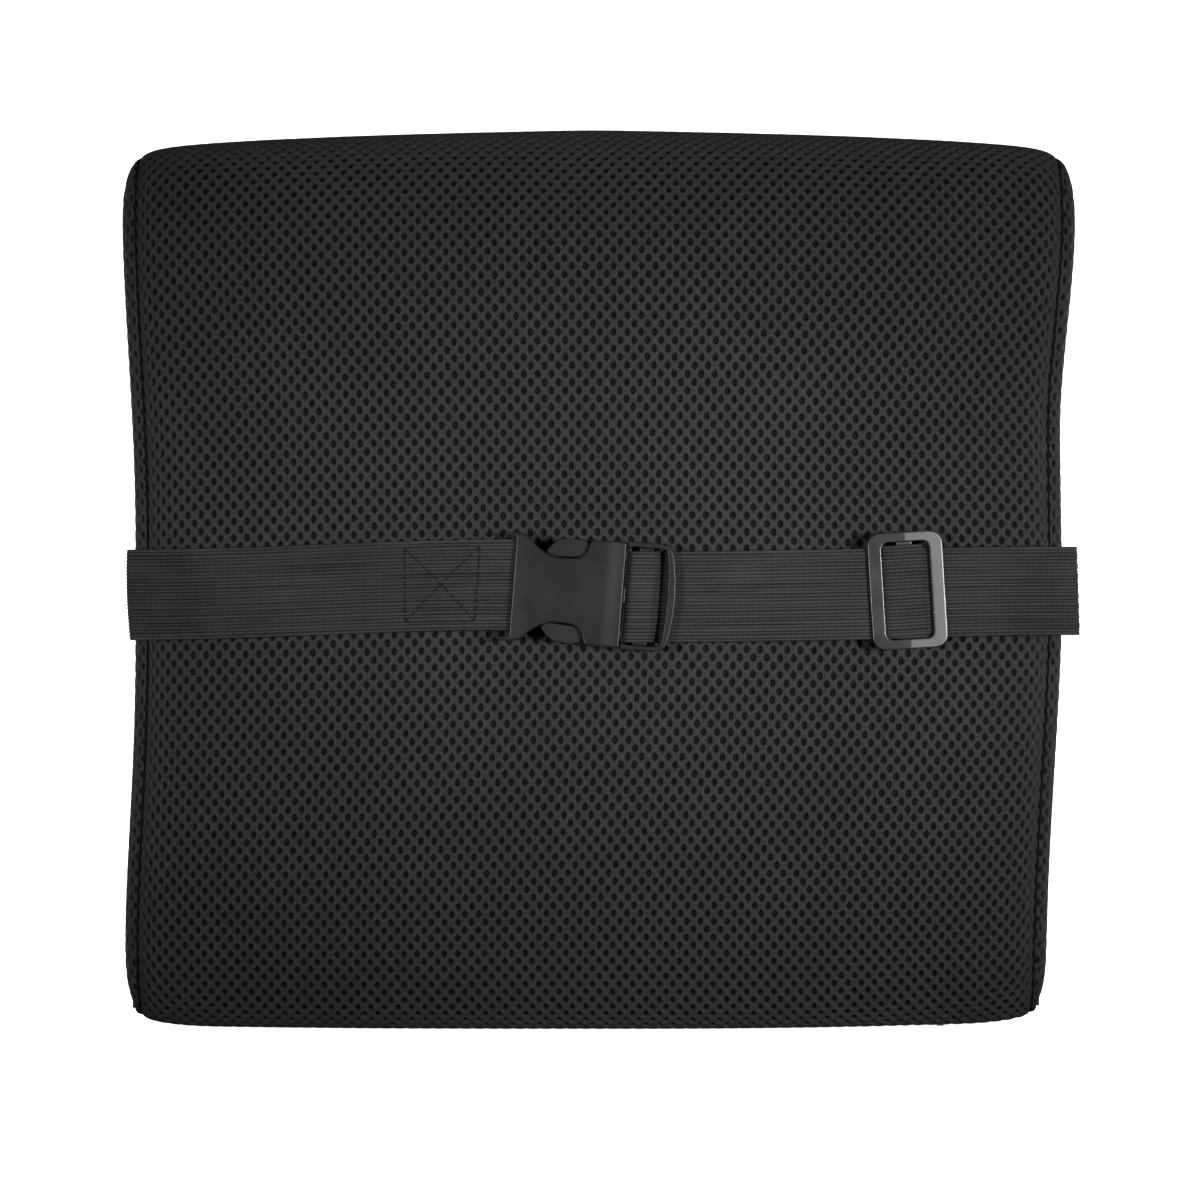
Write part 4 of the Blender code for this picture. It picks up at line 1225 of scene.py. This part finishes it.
PRONG = [
    (19.8, 15.3), (19.8, 15.3), (9.0, 15.4), (7.4, 17.2), (5.0, 18.2), (0.0, 18.3), (-3.5, 17.4), (-6.6, 14.4),
    (-7.0, 12.6), (-5.0, 11.6), (2.0, 12.0), (12.0, 12.3), (19.8, 12.3), (19.8, 12.3), (19.8, 15.3),
]  # fmt: skip
for side, label in ((1, "upper"), (-1, "lower")):
    outline = [(x, side * z) for x, z in smooth_outline(PRONG, mirrored=False)[:-1]]
    low, high = sorted((side * 12.4, side * 15.2))
    arm = moulded(
        f"buckle_prong_{label}_moulding",
        prism(outline, -56.1, -51.8),
        [("UNION", block((9.0, -56.1, low), (20.9, -51.8, high)))],
        BUCKLE,
        voxel=0.25,
        smooth=3,
        rule=to_buckle,
    )
    # the prongs take the darker copy of the buckle plastic, as painted shade
    arm.data.materials[0] = SHADED_PRONG_PLASTIC
    belongs(arm, f"{label}_prong", f"buckle_prong_{label}")

# Adjuster
to_adjuster = in_frame(ADJUSTER_PLACE, ADJUSTER_TILT)


def rounded_rectangle(width, height, corner, steps=8):
    points = []
    for turn in range(4):
        middle = [width / 2 - corner, height / 2 - corner]
        if turn in (1, 2):
            middle[0] = -middle[0]
        if turn in (2, 3):
            middle[1] = -middle[1]
        for step in range(steps + 1):
            angle = math.radians(90 * (turn + step / steps))
            points.append((middle[0] + corner * math.cos(angle), middle[1] + corner * math.sin(angle)))
    return points


def creased(p):
    """The frame is bent a little along its middle, away from the cushion."""
    out = ease(-p[:, 1], 53.5, 54.8)
    return np.column_stack([p[:, 0], p[:, 1] - out * 0.05 * (6.0 - np.abs(p[:, 0])), p[:, 2]])


adjuster = moulded(
    "strap_adjuster_frame",
    prism(rounded_rectangle(26.4, 41.0, 4.6), -56.5, -54.8),
    [
        ("DIFFERENCE", prism(rounded_rectangle(16.9, 34.2, 2.6), -60, -45)),
        ("UNION", block((-3, -55.6, 17.4), (3, -49.9, 19.2))),
        ("UNION", block((-3, -55.6, -19.2), (3, -49.9, -17.4))),
        ("UNION", block((-2.8, -51.5, -18.6), (2.8, -49.95, 18.6))),
    ],
    ENAMEL,
    voxel=0.22,
    smooth=3,
    dome=creased,
    rule=to_adjuster,
)
belongs(adjuster, "adjuster", "strap_adjuster")

WINDOW_WEB = [
    (-8.6, -53.9), (-8.0, -54.6), (-6.6, -55.5), (-4.0, -55.9), (2.0, -56.0), (4.4, -55.7), (5.6, -54.8), (6.0, -53.9),
]  # fmt: skip
window_web = band("adjuster_window_webbing", WINDOW_WEB, to_adjuster, ELASTIC, step=0.6)
belongs(window_web, "adjuster")

# Zip
for label, side in (("back", -1), ("front", 1)):
    low, high = (np.array(corner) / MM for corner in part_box(f"zipper_tape_{label}"))
    x = np.arange(low[0], high[0] + 0.1, 1.0)
    y = np.linspace(low[1], high[1], 9)
    flat_x, flat_y = np.meshgrid(x, y, indexing="ij")
    cord = 0.18 * np.exp(-(((flat_y - (low[1] if side > 0 else high[1])) / 0.9) ** 2))
    ripple = 0.05 * np.sin(flat_x / 7.3 + side) * np.abs(flat_y + 16.0) / 10.0
    under = low[2] + ripple - cord
    over = np.full_like(under, high[2]) + ripple
    count = flat_x.size
    quads, border = sheet_quads(np.arange(count).reshape(flat_x.shape))
    faces = np.vstack([quads, quads[:, ::-1] + count, border_walls(border, count)])
    cloth = np.stack([flat_x, flat_y], axis=-1).reshape(-1, 2)
    points = np.vstack([np.column_stack([cloth, under.reshape(-1)]), np.column_stack([cloth, over.reshape(-1)])])
    tape = mesh_object(f"zipper_tape_{label}_weave", points * MM, faces, TAPE, uv=np.vstack([cloth, cloth]))
    fix_normals(tape)
    belongs(tape, "cushion", f"zipper_tape_{label}")

    low, high = (np.array(corner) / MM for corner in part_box(f"zipper_coil_{label}"))
    middle, half = (low + high) / 2, (high - low) / 2 - COIL_WIRE
    turns = round((high[0] - low[0]) / COIL_PITCH)
    angle = np.linspace(0, 2 * np.pi * turns, turns * 10 + 1)
    run = np.linspace(low[0] + COIL_WIRE, high[0] - COIL_WIRE, len(angle)) + (0.5 * COIL_PITCH if side > 0 else 0.0)
    turning = middle[1] + half[1] * np.cos(angle), middle[2] + half[2] * np.sin(angle)
    path = np.stack([np.minimum(run, high[0] - COIL_WIRE), *turning], axis=1)
    coil = tube(f"zipper_coil_{label}_teeth", path, COIL_WIRE, COIL, sides=6)
    belongs(coil, "cushion", f"zipper_coil_{label}")

for node in ("top_stop_back", "top_stop_front", "bottom_stop", "slider", "pull"):
    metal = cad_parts[f"zipper_{node}"]
    metal.data.materials.clear()
    metal.data.materials.append(ZIP_METAL)

# ---------------------------------------------------------------- stage, light and camera

bpy.context.scene.view_settings.view_transform = "Standard"
bpy.context.scene.view_settings.look = "None"
world = bpy.data.worlds.new("studio")
world.use_nodes = True
sky = world.node_tree.nodes["Background"].inputs
sky["Color"].default_value = (1.0, 1.0, 1.0, 1.0)
sky["Strength"].default_value = 0.06
bpy.context.scene.world = world


def backdrop():
    """A pale sweep: floor, a wide curve and a wall."""
    curve = [(-3.0, 0.0), (0.9, 0.0)]
    curve += [(0.9 + 0.6 * math.sin(a), 0.6 - 0.6 * math.cos(a)) for a in np.linspace(0.1, math.pi / 2, 12)]
    curve += [(1.5, 3.0)]
    points = np.array([(x, y, z - 0.0006) for x in (-4.0, 4.0) for y, z in curve])
    count = len(curve)
    k = np.arange(count - 1)
    quads = np.stack([k, k + count, k + count + 1, k + 1], axis=-1)
    finish = Surface("pale_paper", (0.9, 0.9, 0.9), 0.9, Emission_Color=(1.0, 1.0, 1.0, 1.0), Emission_Strength=1.0)
    paper = finish.between(finish.noise(finish.place(), 3.0), (0.9, 0.9, 0.9), (0.93, 0.93, 0.93))
    finish.link(paper, finish.shader.inputs["Base Color"])
    made = mesh_object("backdrop", points, quads, finish.material)
    made.visible_diffuse = False  # a far-off sweep throws little light back on the cushion
    made.visible_glossy = False
    return made


backdrop()


def lamp(name, kind, place, target, power):
    """A light aimed at its target."""
    light = bpy.data.lights.new(name, kind)
    light.energy = power
    made = linked(bpy.data.objects.new(name, light))
    made.location = place
    made.rotation_euler = (Vector(target) - Vector(place)).to_track_quat("-Z", "Y").to_euler()
    return light


def softbox(name, place, target, size, power):
    light = lamp(name, "AREA", place, target, power)
    light.shape = "RECTANGLE"
    light.size, light.size_y = size


def spot(name, place, target, reach, power):
    """A lamp whose soft pool of light has this radius round its target."""
    light = lamp(name, "SPOT", place, target, power)
    light.spot_size = 2 * math.atan(reach / (Vector(target) - Vector(place)).length)
    light.spot_blend = 0.75
    light.shadow_soft_size = 0.12


spot("spot_right", (0.85, -1.35, 0.17), (0.075, -0.04, 0.162), 0.197, 142)
spot("spot_left", (-0.85, -1.35, 0.17), (-0.055, -0.04, 0.170), 0.197, 82)
softbox("softbox_right", (0.90, -1.30, 0.17), (0, 0, 0.16), (0.6, 0.35), 8)
softbox("softbox_left", (-0.90, -1.30, 0.19), (0, 0, 0.16), (0.6, 0.35), 5)
softbox("softbox_back_right", (0.95, 1.10, 0.22), (0, 0, 0.16), (0.6, 0.5), 34)
softbox("softbox_back_left", (-0.95, 1.10, 0.22), (0, 0, 0.16), (0.6, 0.5), 26)
softbox("softbox_top", (0.0, -0.5, 2.0), (0, 0, 0.0), (1.6, 1.0), 4)

CAMERA_AWAY = 1.2
SEEN_WIDTH = 0.441  # width of the picture in the plane of the frame's origin
camera_data = bpy.data.cameras.new("camera")
camera_data.sensor_width = 36.0
camera_data.lens = camera_data.sensor_width * CAMERA_AWAY / SEEN_WIDTH
camera = linked(bpy.data.objects.new("camera", camera_data))
camera.location = (0.0005, -CAMERA_AWAY, 0.1544)
camera.rotation_euler = (math.radians(90), 0, 0)
bpy.context.scene.camera = camera
